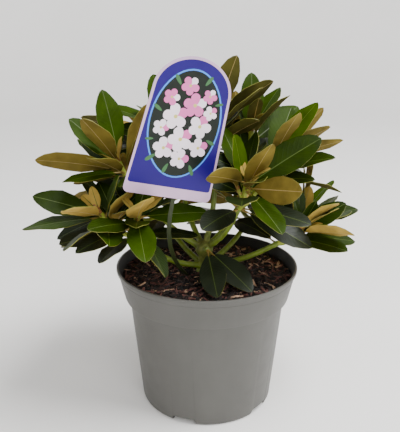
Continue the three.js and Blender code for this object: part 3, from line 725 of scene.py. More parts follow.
def srgb(*levels):
    """The linear colour of levels from 0 to 255."""
    return tuple(((v / 255 + 0.055) / 1.055) ** 2.4 if v > 10 else v / 255 / 12.92 for v in levels)


def shade(colour, by):
    return tuple(min(1, channel * by) for channel in colour)


VEIN_PAIRS = 13
VEIN_SLANT = 5
VEIN_SHARPNESS = 6
VEIN_DEPTH = 0.45
# How far from the fork, in metres, the bark starts to turn green, and where it has done so.
BARK_TURNS = (0.011, 0.028)


def leaf_finish(name, colour, roughness, gloss):
    """Upper side of a leaf: leathery, a little mottled, with faint side veins."""
    finish = Finish(name, roughness, Specular_IOR_Level=gloss)
    finish.colour(finish.shades(finish.noise(55, 4), colour, 0.78, 1.25))
    finish.rough(finish.noise(160, 2) * 0.16 + (roughness - 0.08))
    finish.bump(finish.noise(420, 3) * 0.5 + side_veins(finish), 0.0004, 0.5)
    return finish.material


def side_veins(finish):
    """Stripes that run from the midrib outwards and forwards, on the leaf's own map."""
    own = finish.node("ShaderNodeUVMap", {"uv_map": "leaf"})
    across = finish.node("ShaderNodeSeparateXYZ", values={"Vector": own}, output="X")
    along = finish.node("ShaderNodeSeparateXYZ", values={"Vector": own}, output="Y")
    off = finish.node("ShaderNodeMath", {"operation": "ABSOLUTE"}, {0: across - 0.5})
    waves = (along * VEIN_PAIRS - off * VEIN_SLANT) * 2 * math.pi
    ridge = finish.node("ShaderNodeMath", {"operation": "COSINE"}, {0: waves}) * 0.5 + 0.5
    return ridge**VEIN_SHARPNESS * -VEIN_DEPTH


def felt_finish(name, colour):
    """Underside of a leaf: a thin tan felt."""
    finish = Finish(name, 0.85, Specular_IOR_Level=0.15)
    finish.colour(finish.shades(finish.noise(45, 5), colour, 0.66, 1.3))
    finish.bump(finish.noise(900, 2) * 0.5 + side_veins(finish) * -0.5, 0.0003, 0.4)
    return finish.material


def stalk_finish(name, colour, roughness=0.5):
    """Smooth skin with a fine grain along it: ribs, stalks, shoots and buds."""
    finish = Finish(name, roughness)
    finish.colour(finish.shades(finish.noise(120, 3), colour, 0.8, 1.2))
    finish.bump(finish.noise(500, 2, (1, 1, 0.3)), 0.0003, 0.4)
    return finish.material


def bark_finish(woody, green):
    """Grey-brown fissured bark at the trunk, which turns to smooth green bark along the boughs."""
    finish = Finish("living_bark", 0.75)
    fissures = finish.noise(260, 5, (1, 1, 0.28))
    at = finish.node("ShaderNodeTexCoord", output="Object")
    off = finish.node("ShaderNodeVectorMath", {"operation": "SUBTRACT"}, {0: at, 1: tuple(FORK * MM)})
    off = finish.node("ShaderNodeVectorMath", {"operation": "MULTIPLY"}, {0: off, 1: (1, 1, 0.8)})
    length = finish.node("ShaderNodeVectorMath", {"operation": "LENGTH"}, {0: off}, "Value")
    wavy = length + finish.noise(90, 2) * 0.02
    ends = {"Value": wavy, "From Min": BARK_TURNS[0], "From Max": BARK_TURNS[1]}
    green_share = finish.node("ShaderNodeMapRange", {}, ends, "Result")
    wood = finish.ramp(fissures, [(0.36, shade(woody, 0.35)), (0.5, woody), (0.68, shade(woody, 1.7))])
    skin = finish.shades(fissures, green, 0.75, 1.2)
    finish.colour(finish.blend(green_share, wood, skin))
    finish.rough(0.85 - green_share * 0.35)
    finish.bump(fissures * (1.1 - green_share), 0.0012, 0.8)
    return finish.material


def pot_finish(name, colour, roughness):
    """Matt moulded plastic with a fine grain and faint scuffs."""
    finish = Finish(name, roughness)
    finish.colour(finish.shades(finish.noise(38, 5, (1, 1, 0.45)), colour, 0.92, 1.06))
    finish.rough(finish.noise(60, 4) * 0.16 + (roughness - 0.08))
    finish.bump(finish.noise(1500, 2), 0.0001, 0.35)
    return finish.material


def chip_finish(name, colour):
    """Torn bark: coarse grain, deep relief."""
    finish = Finish(name, 0.8)
    grain = finish.noise(240, 4, (1, 1, 2.5))
    finish.colour(finish.shades(grain, colour, 0.55, 1.35))
    finish.bump(grain, 0.0008, 0.7)
    return finish.material


def print_finish(name, colour):
    """Printed glossy card."""
    finish = Finish(name, 0.42, Specular_IOR_Level=0.25, Coat_Weight=0.06, Coat_Roughness=0.15)
    finish.colour(finish.shades(finish.noise(30, 2), colour, 0.95, 1.04))
    finish.bump(finish.noise(25, 1), 0.0006, 0.15)
    return finish.material


# Mesh helpers

class Soup:
    """Vertices and faces of one joined piece, in millimetres, with a material number for each face."""

    def __init__(self):
        self.places = []
        self.faces = []
        self.tones = []
        self.maps = []
        self.count = 0

    def add(self, places, faces, tones, corners=None):
        """corners gives each vertex's place on the piece's own map."""
        places = np.asarray(places, float)
        self.faces += [tuple(self.count + i for i in face) for face in faces]
        self.tones += [tones] * len(faces) if isinstance(tones, int) else list(tones)
        self.places.append(places)
        self.maps.append(np.zeros((len(places), 2)) if corners is None else corners)
        self.count += len(places)

    def piece(self, name, materials, smooth_angle=45):
        mesh = bpy.data.meshes.new(name)
        mesh.from_pydata((np.vstack(self.places) * MM).tolist(), [], self.faces)
        for material in materials:
            mesh.materials.append(material)
        mesh.polygons.foreach_set("material_index", self.tones)
        own = mesh.uv_layers.new(name="leaf")
        corners = np.zeros(len(mesh.loops), int)
        mesh.loops.foreach_get("vertex_index", corners)
        own.data.foreach_set("uv", np.vstack(self.maps)[corners].ravel())
        mesh.update()
        made = bpy.data.objects.new(name, mesh)
        bpy.context.scene.collection.objects.link(made)
        choose(made)
        bpy.ops.object.shade_smooth_by_angle(angle=math.radians(smooth_angle))
        return made


def choose(*pieces):
    """Selects only these pieces; the first is the active one."""
    bpy.ops.object.select_all(action="DESELECT")
    for piece in pieces:
        piece.select_set(True)
    bpy.context.view_layer.objects.active = pieces[0]


def settle(piece):
    """Puts the piece's place into its mesh."""
    choose(piece)
    bpy.ops.object.transform_apply(location=True, rotation=True, scale=True)


def apply_modifier(piece, kind, **settings):
    choose(piece)
    modifier = piece.modifiers.new(kind.lower(), kind)
    for key, value in settings.items():
        setattr(modifier, key, value)
    bpy.ops.object.modifier_apply(modifier=modifier.name)


def hand_in(piece, slot, *nodes):
    """Hangs the finished piece on the root and hides the nodes that it stands for. The slot is not used.
    """
    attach(piece, "root")
    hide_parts(*nodes)


def joined(rings, sides):
    """The faces that join rings of points one after another, with closed ends."""
    faces = [tuple(range(sides))[::-1]]
    for ring in range(rings - 1):
        for i in range(sides):
            a, b = ring * sides + i, ring * sides + (i + 1) % sides
            faces.append((a, b, b + sides, a + sides))
    return faces + [tuple(range((rings - 1) * sides, rings * sides))]


def tube(path, radii, sides):
    """Rings of points round a path, with closed ends, as places and faces."""
    side = vec(1, 0, 0) if abs(path_direction(path, 0)[2]) > 0.9 else UP
    angles = np.linspace(0, 2 * math.pi, sides, endpoint=False)
    rings = []
    for step, point in enumerate(path):
        direction = path_direction(path, step)
        side = flattened(side, direction)
        other = np.cross(direction, side)
        radius = np.broadcast_to(radii[step], (sides,))[:, None]
        outwards = np.outer(np.cos(angles), side) + np.outer(np.sin(angles), other)
        rings.append(point + radius * outwards)
    return np.vstack(rings), joined(len(path), sides)


# Leaves

# Where the rows of a blade lie, as shares of its length.
BLADE_ROWS = np.array((0, 0.06, 0.18, 0.36, 0.56, 0.75, 0.89, 0.965, 1))
BLADE_COLUMNS = 6
BLADE_EDGE = 0.55
LEAF_BODY = 1.0
LEAF_MARGIN = 0.5
CUP = (0.02, 0.3)
CUP_ROLL = 0.35
MIDRIB_HALF = 0.65
MIDRIB_RISE = 0.7
MIDRIB_SINK = 0.25
PETIOLE_RADIUS = 1.35
EDGE_WAVE = 1.0
WAVE_TURNS = 11
TWIST = 15
TIP_HALF = 0.25
RIB_TIP = 0.25
RIB_MOST = 0.4
STALK_SIDES = 5
STALK_TIP = 0.8
STALK_ROOT = 1.15
STALK_BELOW = 0.2
ROOT_REACH = 4
# A blade narrower than this, from its middle to its edge, is thinner, or waves less.
THIN_BODY = 5
FULL_WAVE = 8

# How a leaf's tone follows its age, how deep it sits in the crown, how high it sits, and a draw. Depth
# darkens the upper side and height the underside, both as painted shade.
CROWN_FOOT = 200
CROWN_SPAN = 150
INNER_SHADE_REACH = 140
INNER_SHADE = 0.7
FIRST_TONE = 0.35
AGE_TONES = 2.3
TONE_STRAY = 0.6
# The underside's felt darkens with age, and with height as painted shade.
FELT_AGE_TONES = 1.1
FELT_MIDDLE = 0.35
FIRST_FELT = -0.05
FELT_STRAY = 0.25

TONES = ("young", "bright", "mid", "deep", "dark")
# The felts run from lit to shaded felt, as painted light and shade, as well as from young to old felt.
FELTS = ("felt_light", "felt_tan", "felt_olive")
# The margin's pale colour is partly the rolled edge's own yellowish colour and partly a painted
# highlight along the leaf's edge.
LEAF_PARTS = ("vein", "vein_under", "margin", "stalk")
FELT_FIRST = len(TONES)
VEIN, VEIN_UNDER, MARGIN_AND_HIGHLIGHT, STALK = (FELT_FIRST + len(FELTS) + i for i in range(len(LEAF_PARTS)))


def blade_faces():
    """The faces of one blade, with a kind for each: top, midrib, underside, midrib below, margin."""
    rows, columns = len(BLADE_ROWS), BLADE_COLUMNS
    under = rows * columns
    faces, kinds = [], []
    middle = columns // 2 - 1
    for row in range(rows - 1):
        for column in range(columns - 1):
            a = row * columns + column
            b = a + columns
            faces.append((a, a + 1, b + 1, b))
            kinds.append("vein" if column == middle else "top")
            faces.append((under + a, under + b, under + b + 1, under + a + 1))
            kinds.append("vein_under" if column == middle else "under")
        left, right = row * columns, row * columns + columns - 1
        faces.append((left, left + columns, under + left + columns, under + left))
        faces.append((right, under + right, under + right + columns, right + columns))
        kinds += ["margin", "margin"]
    row, last = np.arange(columns), (rows - 1) * columns
    for cap in ((row[::-1], row + under), (row + last, row[::-1] + under + last)):
        faces.append(tuple(np.concatenate(cap).tolist()))
        kinds.append("margin")
    return faces, kinds


BLADE_FACES, BLADE_KINDS = blade_faces()


def blade_places(leaf, dice):
    """The points of a blade: its top row by row, then its underside, and their places on its map."""
    top, under, corners = [], [], []
    phases = dice.draw() * 6, dice.draw() * 6
    twist = math.radians(dice.swing(TWIST))
    cup = mix(*CUP, phases[0] / 6)
    for u in BLADE_ROWS:
        place, face = leaf.middle(mix(PETIOLE_SHARE, 1, u))
        face = face * math.cos(twist * u) + leaf.side * math.sin(twist * u)
        forward = np.cross(leaf.side, face)
        side = unit(np.cross(face, forward))
        half = max(blade_half(u) * leaf.width if 0 < u < 1 else 0, mix(PETIOLE_RADIUS, TIP_HALF, u))
        rib = min(mix(MIDRIB_HALF, RIB_TIP, u), RIB_MOST * half)
        for x in (-half, -BLADE_EDGE * half, -rib, rib, BLADE_EDGE * half, half):
            share = abs(x) / half
            phase = phases[0] if x < 0 else phases[1]
            wave = EDGE_WAVE * share**2 * math.sin(WAVE_TURNS * u + phase) * min(1, half / FULL_WAVE)
            lift = half * cup * share * (1 - CUP_ROLL * share**2) + wave
            body = mix(LEAF_BODY, LEAF_MARGIN, share) * min(1, 0.3 + half / THIN_BODY)
            on_rib = share < BLADE_EDGE - 0.01
            at = place + side * x
            top.append(at + face * (lift + body / 2 - MIDRIB_SINK * on_rib))
            under.append(at + face * (lift - body / 2 - MIDRIB_RISE * on_rib * (1 - u)))
            corners.append((0.5 + 0.5 * x / half, u))
    return np.array(top + under), np.array(corners + corners)


def add_leaf(soup, leaf, mass, dice):
    """One leaf: its blade and its petiole, in the tones of its age and place, with painted shade on
    upper sides deep in the crown and on undersides high up.
    """
    places, corners = blade_places(leaf, dice)
    height = min(1, max(0, (leaf.base[2] - CROWN_FOOT) / CROWN_SPAN))
    # Leaves near the fork, deep in the crown, get darker upper sides: painted shade.
    inside = max(0, 1 - np.linalg.norm(leaf.base - FORK) / INNER_SHADE_REACH)
    tone = leaf.age * AGE_TONES + FIRST_TONE + min(INNER_SHADE, inside * 2)
    top = min(len(TONES) - 1, max(0, round(tone + dice.swing(TONE_STRAY))))
    # The underside darkens with age, and with height as painted shade.
    felt_age_and_shade = leaf.age * FELT_AGE_TONES + (height - FELT_MIDDLE) * 2 + FIRST_FELT
    felt = FELT_FIRST + min(len(FELTS) - 1, max(0, round(felt_age_and_shade + dice.swing(FELT_STRAY))))
    if leaf.length < BUD_RULE["length"][0]:
        top = felt = FELT_FIRST
    tones = {"top": top, "vein": VEIN, "under": felt, "vein_under": VEIN_UNDER, "margin": MARGIN_AND_HIGHLIGHT}
    soup.add(places, BLADE_FACES, [tones[kind] for kind in BLADE_KINDS], corners)
    shares = (0, 0.5 * PETIOLE_SHARE, PETIOLE_SHARE + 0.03)
    path = np.array([leaf.middle(t)[0] - leaf.face * STALK_BELOW for t in shares])
    path[0] = root_on_shoot(mass, leaf)
    radii = (PETIOLE_RADIUS * STALK_ROOT, PETIOLE_RADIUS, STALK_TIP)
    soup.add(*tube(path, radii, STALK_SIDES), STALK)


def root_on_shoot(mass, leaf):
    """The nearest point to a leaf's base on the middle of the shoot or spur that carries it."""
    lines = [shoot.smooth() for shoot in mass.shoots]
    lines += [np.linspace(start, end, 8) for start, end, _ in mass.spurs]
    lines.append(np.array((mass.start, mass.node)))
    points = np.vstack(lines)
    nearest = points[np.argmin(((points - leaf.base) ** 2).sum(1))]
    return nearest if np.linalg.norm(nearest - leaf.base) < ROOT_REACH else leaf.base


def leaf_materials(colours):
    """The finishes of all leaves, in the order of TONES, FELTS, VEIN, VEIN_UNDER, MARGIN_AND_HIGHLIGHT and STALK."""
    finishes = []
    for i, tone in enumerate(TONES):
        finishes.append(leaf_finish("leaf_" + tone, colours[tone], 0.5 - 0.03 * i, 0.01 + 0.05 * i))
    finishes += [felt_finish("leaf_" + felt, colours[felt]) for felt in FELTS]
    for name, part in zip(("midrib", "midrib_below", "margin", "stalk"), LEAF_PARTS):
        finishes.append(stalk_finish("leaf_" + name, colours[part]))
    return finishes


# Shoots and buds

SHOOT_SIDES = 10
SHOOT_LUMPS = 0.22
NODE_RADIUS = 3.7
# The stem's radii: sunk in the bough, at the bough's tip, at the node, and past it.
STEM_RADII = (3.1, 3.3, NODE_RADIUS, 2.4)
STEM_SUNK = 1.5
STEM_PAST = 2
WHORL_SWELL = 0.5
SWELL_FROM = 0.65
SPUR_RADII = (2.2, 1.9)
SPUR_SIDES = 8
SPUR_ROWS = 6
BUD_SIDES = 10
BUD_LOBES = 0.06
# Each ring of a bud: its share of the length and of the widest radius. Steps inwards are scale edges.
BUD_RINGS = (
    (0, 0.6), (0.12, 0.95), (0.14, 0.84), (0.3, 1.05), (0.33, 0.9), (0.5, 1),
    (0.53, 0.82), (0.7, 0.78), (0.73, 0.6), (0.88, 0.42), (1, 0.06),
)
BUD_WIDEST = 3.5
SPUR_BUD = (0.6, 0.65)


def add_shoots(soup, mass, dice):
    """The stem, shoots and spurs of a mass. Young shoots are green, the stem a little woodier."""
    along = mass.direction
    stem = (mass.start - along * STEM_SUNK, mass.start, mass.node, mass.node + along * STEM_PAST)
    soup.add(*tube(np.array(stem), STEM_RADII, SHOOT_SIDES), 1)
    for shoot in mass.shoots:
        radii = []
        for row in range(SHOOT_ROWS + 1):
            share = row / SHOOT_ROWS
            swell = WHORL_SWELL * max(0, (share - SWELL_FROM) / (1 - SWELL_FROM))
            lumps = SHOOT_LUMPS * np.array([dice.swing(1) for _ in range(SHOOT_SIDES)])
            radii.append(mix(*TWIG_RADIUS, share) + swell + lumps * (row > 0))
        soup.add(*tube(shoot.smooth(), radii, SHOOT_SIDES), 0)
    for start, end, _ in mass.spurs:
        path, radii = np.linspace(start, end, SPUR_ROWS), np.linspace(*SPUR_RADII, SPUR_ROWS)
        soup.add(*tube(path, radii, SPUR_SIDES), 0)


def add_bud(soup, foot, axis, length, widest):
    """A bud of overlapping scales, with each scale edge a small step."""
    path = np.array([foot + axis * length * share for share, _ in BUD_RINGS])
    angles = np.linspace(0, 2 * math.pi, BUD_SIDES, endpoint=False)
    radii = []
    for i, (_, share) in enumerate(BUD_RINGS):
        radii.append(widest * share * (1 + BUD_LOBES * np.cos(5 * angles + i)))
    tones = [ring % 2 for ring in range(len(path) - 1) for _ in range(BUD_SIDES)]
    soup.add(*tube(path, radii, BUD_SIDES), [0, *tones, 0])


# Trunk and boughs

TRUNK_RINGS = ((0.3, 12.5), (3, 10.5), (8, 8.2), (16, 7.6))
KNUCKLE_LATITUDES = (-45, -22.5, 0, 22.5, 45, 67.5, 82)
FLARE_LOBES = 5
FLARE_HOLLOW = 0.13
HOLLOW_FADE = 0.04
STEM_SIDES = 20
STEM_VOXEL = 0.9
SUNK_START = 5
SUNK_WIDER = 0.6
BOUGH_ROWS = 14
BOUGH_SIDES = 12
# The bark's relief fades over the last RELIEF_FADE of RELIEF_REACH from the fork. A share of it stays.
RELIEF_REACH = 55
RELIEF_FADE = 25
RELIEF_LEFT = 0.25
RELIEF_DEPTH = 1.6


def trunk_tube():
    rings = list(TRUNK_RINGS)
    for latitude in KNUCKLE_LATITUDES:
        angle = math.radians(latitude)
        height = FORK[2] - SOIL_LEVEL + KNUCKLE_RADIUS * math.sin(angle)
        rings.append((height, KNUCKLE_RADIUS * math.cos(angle)))
    path = np.array([vec(FORK[0], FORK[1], SOIL_LEVEL + height) for height, _ in rings])
    angles = np.linspace(0, 2 * math.pi, STEM_SIDES, endpoint=False)
    radii = []
    for step, (_, radius) in enumerate(rings):
        hollow = max(0, FLARE_HOLLOW - HOLLOW_FADE * step)
        radii.append(radius * (1 - hollow * (1 + np.cos(FLARE_LOBES * angles)) / 2))
    return tube(path, radii, STEM_SIDES)


def build_stems(name):
    """Trunk and boughs as one skin, with the bark's relief."""
    soup = Soup()
    soup.add(*trunk_tube(), 0)
    for root, tip in BOUGHS.values():
        path = bow(*bough_curve(root, tip), BOUGH_ROWS)
        path = np.vstack((path[0] - unit(path[1] - path[0]) * SUNK_START, path))
        radii = [BOUGH_RADIUS[0] + SUNK_WIDER, *np.linspace(*BOUGH_RADIUS, BOUGH_ROWS + 1)]
        soup.add(*tube(path, radii, BOUGH_SIDES), 0)
    made = soup.piece(name, [], 60)
    apply_modifier(made, "REMESH", mode="VOXEL", voxel_size=STEM_VOXEL * MM, use_smooth_shade=True)
    apply_modifier(made, "SMOOTH", iterations=4, factor=0.5)
    group = made.vertex_groups.new(name="woody")
    for vertex in made.data.vertices:
        distance = (Vector(FORK * MM) - vertex.co).length / MM
        relief = max(RELIEF_LEFT, min(1, (RELIEF_REACH - distance) / RELIEF_FADE))
        group.add([vertex.index], relief, "REPLACE")
    fissures = bpy.data.textures.new("fissures", "CLOUDS")
    fissures.noise_scale = 0.005
    fissures.noise_depth = 3
    apply_modifier(
        made, "DISPLACE", texture=fissures, strength=RELIEF_DEPTH * MM, mid_level=0.55,
        texture_coords="LOCAL", vertex_group="woody",
    )
    return made


# Pot

POT_SPIN_STEPS = 128
FOOT_RADIUS = 84.5
BODY_SLOPE = 0.099
BODY_TOP = 140
BAND_BOTTOM = 145
BAND_BOTTOM_RADIUS = 104.6
BAND_TOP = 177.5
BAND_TOP_RADIUS = 112.2
# The fine groove under the lip: its four heights, its depth, and where its upper radius is taken.
GROOVE = (173, 173.6, 174.6, 175.2)
GROOVE_DEPTH = 0.25
GROOVE_UPPER = 175
LIP_WIDTH = 2.6
POT_WALL = 2
FLOOR_UNDERSIDE = 7
FLOOR_TOP = 10.5
FOOT_RING_WIDTH = 12
BOSS_RADIUS = 22
DRAIN_ARCHES = 5
FIRST_ARCH = -38
ARCH_SIZE = (30, 7.5)
ARCH_CORNER = 3
DRAIN_HOLE_RADIUS = 5
DRAIN_HOLE_RING = 60
DRAIN_CUT = 30


def body_radius(z):
    return FOOT_RADIUS + BODY_SLOPE * z


def band_radius(z):
    return mix(BAND_BOTTOM_RADIUS, BAND_TOP_RADIUS, (z - BAND_BOTTOM) / (BAND_TOP - BAND_BOTTOM))


def pot_profile():
    """Radii and heights, from the middle of the underside round the wall to the middle of the floor."""
    ring_inside = FOOT_RADIUS - FOOT_RING_WIDTH
    top, inner = POT_HEIGHT, LIP_RADIUS - LIP_WIDTH
    a, b, c, d = GROOVE
    upper = band_radius(GROOVE_UPPER)
    return (
        (0, 0), (BOSS_RADIUS, 0), (BOSS_RADIUS + 2, FLOOR_UNDERSIDE), (ring_inside - 2, FLOOR_UNDERSIDE),
        (ring_inside, 0), (FOOT_RADIUS - 4, 0), (FOOT_RADIUS - 1, 1.2), (body_radius(4), 4),
        (body_radius(BODY_TOP + 2), BODY_TOP + 2), (BAND_BOTTOM_RADIUS - 0.8, BAND_BOTTOM - 2),
        (BAND_BOTTOM_RADIUS, BAND_BOTTOM), (band_radius(a - 1), a - 1), (band_radius(a), a),
        (band_radius(a) - GROOVE_DEPTH, b), (upper - GROOVE_DEPTH, c), (upper, d),
        (BAND_TOP_RADIUS, BAND_TOP), (LIP_RADIUS - 0.2, BAND_TOP + 0.8), (LIP_RADIUS, BAND_TOP + 1.6),
        (LIP_RADIUS, top - 1), (LIP_RADIUS - 0.3, top - 0.3), (LIP_RADIUS - 1, top),
        (inner + 0.4, top), (inner, top - 0.5), (BAND_TOP_RADIUS - POT_WALL, top - 2),
        (BAND_BOTTOM_RADIUS - POT_WALL, BAND_BOTTOM), (body_radius(BODY_TOP) - POT_WALL, BODY_TOP),
        (body_radius(FLOOR_TOP) - POT_WALL, FLOOR_TOP), (0, FLOOR_TOP),
    )


def spin_profile(name, profile, steps):
    """Extrudes one point along a profile and spins it round the axis."""
    bpy.ops.mesh.primitive_plane_add(size=MM, location=(profile[0][0] * MM, 0, profile[0][1] * MM))
    made = bpy.context.object
    made.name = made.data.name = name
    settle(made)
    bpy.ops.object.mode_set(mode="EDIT")
    bpy.ops.mesh.select_all(action="SELECT")
    bpy.ops.mesh.merge(type="CENTER")
    for (r0, z0), (r1, z1) in zip(profile[:-1], profile[1:]):
        shift = ((r1 - r0) * MM, 0, (z1 - z0) * MM)
        bpy.ops.mesh.extrude_vertices_move(TRANSFORM_OT_translate={"value": shift})
    bpy.ops.mesh.select_all(action="SELECT")
    bpy.ops.mesh.spin(steps=steps, angle=2 * math.pi, center=(0, 0, 0), axis=(0, 0, 1))
    bpy.ops.mesh.select_all(action="SELECT")
    bpy.ops.mesh.remove_doubles(threshold=0.01 * MM)
    bpy.ops.mesh.normals_make_consistent(inside=False)
    bpy.ops.object.mode_set(mode="OBJECT")
    return made


def cut(piece, cutter):
    choose(cutter)
    apply_modifier(piece, "BOOLEAN", operation="DIFFERENCE", object=cutter, solver="EXACT")
    bpy.data.objects.remove(cutter)


def drain_place(out, turn, height):
    return (out * MM * math.cos(turn), out * MM * math.sin(turn), height * MM)


def build_pot(name):
    """The container: a spun shell with drain arches and holes."""
    made = spin_profile(name, pot_profile(), POT_SPIN_STEPS)
    for i in range(DRAIN_ARCHES):
        turn = math.radians(FIRST_ARCH + 360 / DRAIN_ARCHES * i)
        width, height = ARCH_SIZE
        at = drain_place(FOOT_RADIUS - FOOT_RING_WIDTH / 2, turn, 0)
        bpy.ops.mesh.primitive_cube_add(size=1, location=at, rotation=(0, 0, turn))
        arch = bpy.context.object
        arch.scale = (2 * FOOT_RING_WIDTH * MM, width * MM, 2 * height * MM)
        settle(arch)
        apply_modifier(arch, "BEVEL", width=ARCH_CORNER * MM, segments=4, limit_method="NONE")
        cut(made, arch)
        at = drain_place(DRAIN_HOLE_RING, turn, FLOOR_TOP)
        bpy.ops.mesh.primitive_cylinder_add(
            vertices=24, radius=DRAIN_HOLE_RADIUS * MM, depth=DRAIN_CUT * MM, location=at
        )
        hole = bpy.context.object
        settle(hole)
        cut(made, hole)
    return made


def paint_pot(made):
    """The shell is grey outside and black inside, down from just under the lip."""
    for face in made.data.polygons:
        middle = face.center
        radial = math.hypot(middle.x, middle.y)
        inwards = face.normal.x * middle.x + face.normal.y * middle.y < -0.5 * radial
        wall = inwards and FLOOR_TOP * MM < middle.z < (POT_HEIGHT - 0.6) * MM
        floor = face.normal.z > 0.7 and abs(middle.z - FLOOR_TOP * MM) < MM
        face.material_index = 1 if wall or floor else 0


# Bark mix

MIX_RADIUS = 107.6
MIX_EDGE_DIP = 2.5
DIP_FROM = 85
DIP_REACH = 20
MIX_RINGS = 9
MIX_SPIN_STEPS = 96
MIX_LUMPS = 2.4
CHIPS = 1900
CHIP_LENGTH = (5, 20)
CHIP_WIDTH = (1.7, 5)
CHIP_THICKNESS = (0.7, 1.9)
CHIP_TILT = 28
CHIP_RISE = (-0.6, 2.2)
CHIP_SUNK = 0.6
# Most chips are small: their draws are raised to this power.
CHIP_POWER = 1.6
# The three cross-sections of a chip: share of its length, share of its width.
CHIP_ROWS = ((-0.5, 0.45), (0, 1), (0.5, 0.4))
CHIP_SAG = 0.8
CHIP_SKEW = 0.25
CHIP_UNEVEN = 0.3
CHIP_WIDEST_SHARE = 0.6
CHIP_TOP_SHARE = 0.8
CHIP_FREE_OF_TRUNK = 10
CHIP_FREE_OF_WALL = 3
CHIP_TURN_STRAY = 6
MIX_TOP = 168.6
# Chip tones, darkest first. They are darkened as painted shade of the crown over the mix; the near-black
# peat, on the mix body and a third of the chips, also paints the shade in the gaps between chips.
CHIP_TONES = ("peat", "dark", "brown", "red", "tan")
CHIP_SHARES = (0.34, 0.6, 0.79, 0.94, 1)


def mix_profile():
    """Radii and heights from the middle of the underside round to the middle of the top."""
    wall = (
        (body_radius(FLOOR_TOP) - POT_WALL - GAP, FLOOR_TOP + GAP),
        (body_radius(BODY_TOP) - POT_WALL - GAP, BODY_TOP),
        (BAND_BOTTOM_RADIUS - POT_WALL - GAP, BAND_BOTTOM + GAP),
        (MIX_RADIUS, MIX_TOP - MIX_EDGE_DIP),
    )
    rings = [(MIX_RADIUS * (1 - i / MIX_RINGS), MIX_TOP) for i in range(1, MIX_RINGS + 1)]
    return ((0, FLOOR_TOP + GAP), *wall, *rings)


def build_mix(name):
    """The body of the bark mix: it fills the container up to an uneven top that dips at its edge."""
    made = spin_profile(name, mix_profile(), MIX_SPIN_STEPS)
    group = made.vertex_groups.new(name="top")
    top = [v.index for v in made.data.vertices if v.co.z > (MIX_TOP - 0.1) * MM]
    group.add(top, 1, "REPLACE")
    lumps = bpy.data.textures.new("lumps", "CLOUDS")
    lumps.noise_scale = 0.012
    apply_modifier(
        made, "DISPLACE", texture=lumps, strength=MIX_LUMPS * MM, mid_level=0.7,
        texture_coords="LOCAL", vertex_group="top", direction="Z",
    )
    return made


def add_chip(soup, at, dice):
    """A splinter of bark: a flat bar with pointed, uneven ends and a bent middle."""
    sizes = (CHIP_LENGTH, CHIP_WIDTH, CHIP_THICKNESS)
    length, width, thickness = (mix(*size, dice.draw() ** CHIP_POWER) for size in sizes)
    width = min(width, length * CHIP_WIDEST_SHARE)
    places = []
    for share, wide in CHIP_ROWS:
        sag = dice.swing(CHIP_SAG)
        skew = dice.swing(CHIP_SKEW) * width
        half = wide * width * (1 + dice.swing(CHIP_UNEVEN)) / 2
        low, high = sag - thickness / 2, thickness + sag - thickness / 2
        x, top = share * length, half * CHIP_TOP_SHARE
        places += [(x, skew - half, low), (x, skew + half, low)]
        places += [(x + skew, skew + top, high), (x + skew, skew - top, high)]
    turn = turn_about("Z", 360 * dice.draw())
    turn = turn @ turn_about("Y", dice.swing(CHIP_TILT)) @ turn_about("X", dice.swing(CHIP_TILT))
    pick = dice.draw()
    tone = next(i for i, share in enumerate(CHIP_SHARES) if pick <= share)
    places = np.array(places) @ turn.T + at
    reach = np.hypot(places[:, 0], places[:, 1])
    places[:, :2] *= np.minimum(1, (MIX_RADIUS - GAP) / reach)[:, None]
    soup.add(places, joined(len(CHIP_ROWS), 4), tone)


def build_chips(name, materials):
    """Chips strewn evenly over the mix by the golden angle, each at its own height and tilt."""
    soup = Soup()
    dice = Draws(SEED_STEP)
    for i in range(CHIPS):
        out = (MIX_RADIUS - CHIP_FREE_OF_WALL) * math.sqrt((i + 0.5) / CHIPS)
        turn = GOLDEN_TURN * i + dice.swing(CHIP_TURN_STRAY)
        drop = MIX_EDGE_DIP * max(0, (out - DIP_FROM) / DIP_REACH)
        rise = SOIL_LEVEL - drop + mix(*CHIP_RISE, dice.draw()) - CHIP_SUNK
        at = heading(turn, 90) * out + UP * rise
        if np.linalg.norm((at - FORK)[:2]) > CHIP_FREE_OF_TRUNK:
            add_chip(soup, at, dice)
    return soup.piece(name, materials, 30)


# Label: every layer lies a hair in front of the one below

INKS = ("card", "panel", "line", "ground", "leaf", "petal", "pink", "heart", "tail")
INK = {name: number for number, name in enumerate(INKS)}
LAYER = 0.06
CARD_THICKNESS = 0.45
PANEL_INSET = 3
PANEL_FOOT = 12
WINDOW = (0, 82, 38, 57)
WINDOW_LINE = 1.8
# Each blossom: its middle, its radius and whether it is pink. Each sprig: its foot, turn and length.
BLOSSOMS = (
    (-17, 54, 12, False), (3, 45, 11, False), (21, 60, 11, False), (-25, 75, 9, False),
    (-1, 66, 14, False), (17, 83, 13, False), (-12, 89, 14, False), (25, 99, 8, False),
    (-21, 108, 9, True), (6, 104, 13, True), (20, 116, 8, True), (-4, 123, 10, True),
)
SPRIGS = (
    (-28, 92, 150, 11), (28, 70, -20, 11), (-24, 46, 220, 13), (28, 108, 20, 9), (12, 126, 60, 12),
    (16, 40, -60, 13), (-14, 122, 130, 12), (-8, 38, 250, 12), (-30, 62, 190, 9),
)
PETALS = 5
PETAL_POINTS = 14
SPRIG_WIDTH = 0.42
PETAL_WIDTH = 0.95
HEART_SIZE = 0.15
# Where the prints lie, in layers in front of the card, and how far petals and blossoms step forwards.
PANEL_LEVEL, LINE_LEVEL, GROUND_LEVEL, SPRIG_LEVEL, BLOSSOM_LEVEL = 0.5, 1, 1.5, 2, 2.6
BLOSSOM_STEP = 0.5
PETAL_STEP = 0.08
HEART_STEP = 0.46
TAIL_SIDES = 12
TAIL_HALF_THICKNESS = 0.6
TAIL_BEHIND = 0.65
# The tail's cross-section is a rounded bar: these powers of cosine and sine make it square.
TAIL_SQUARE = (0.4, 0.6)


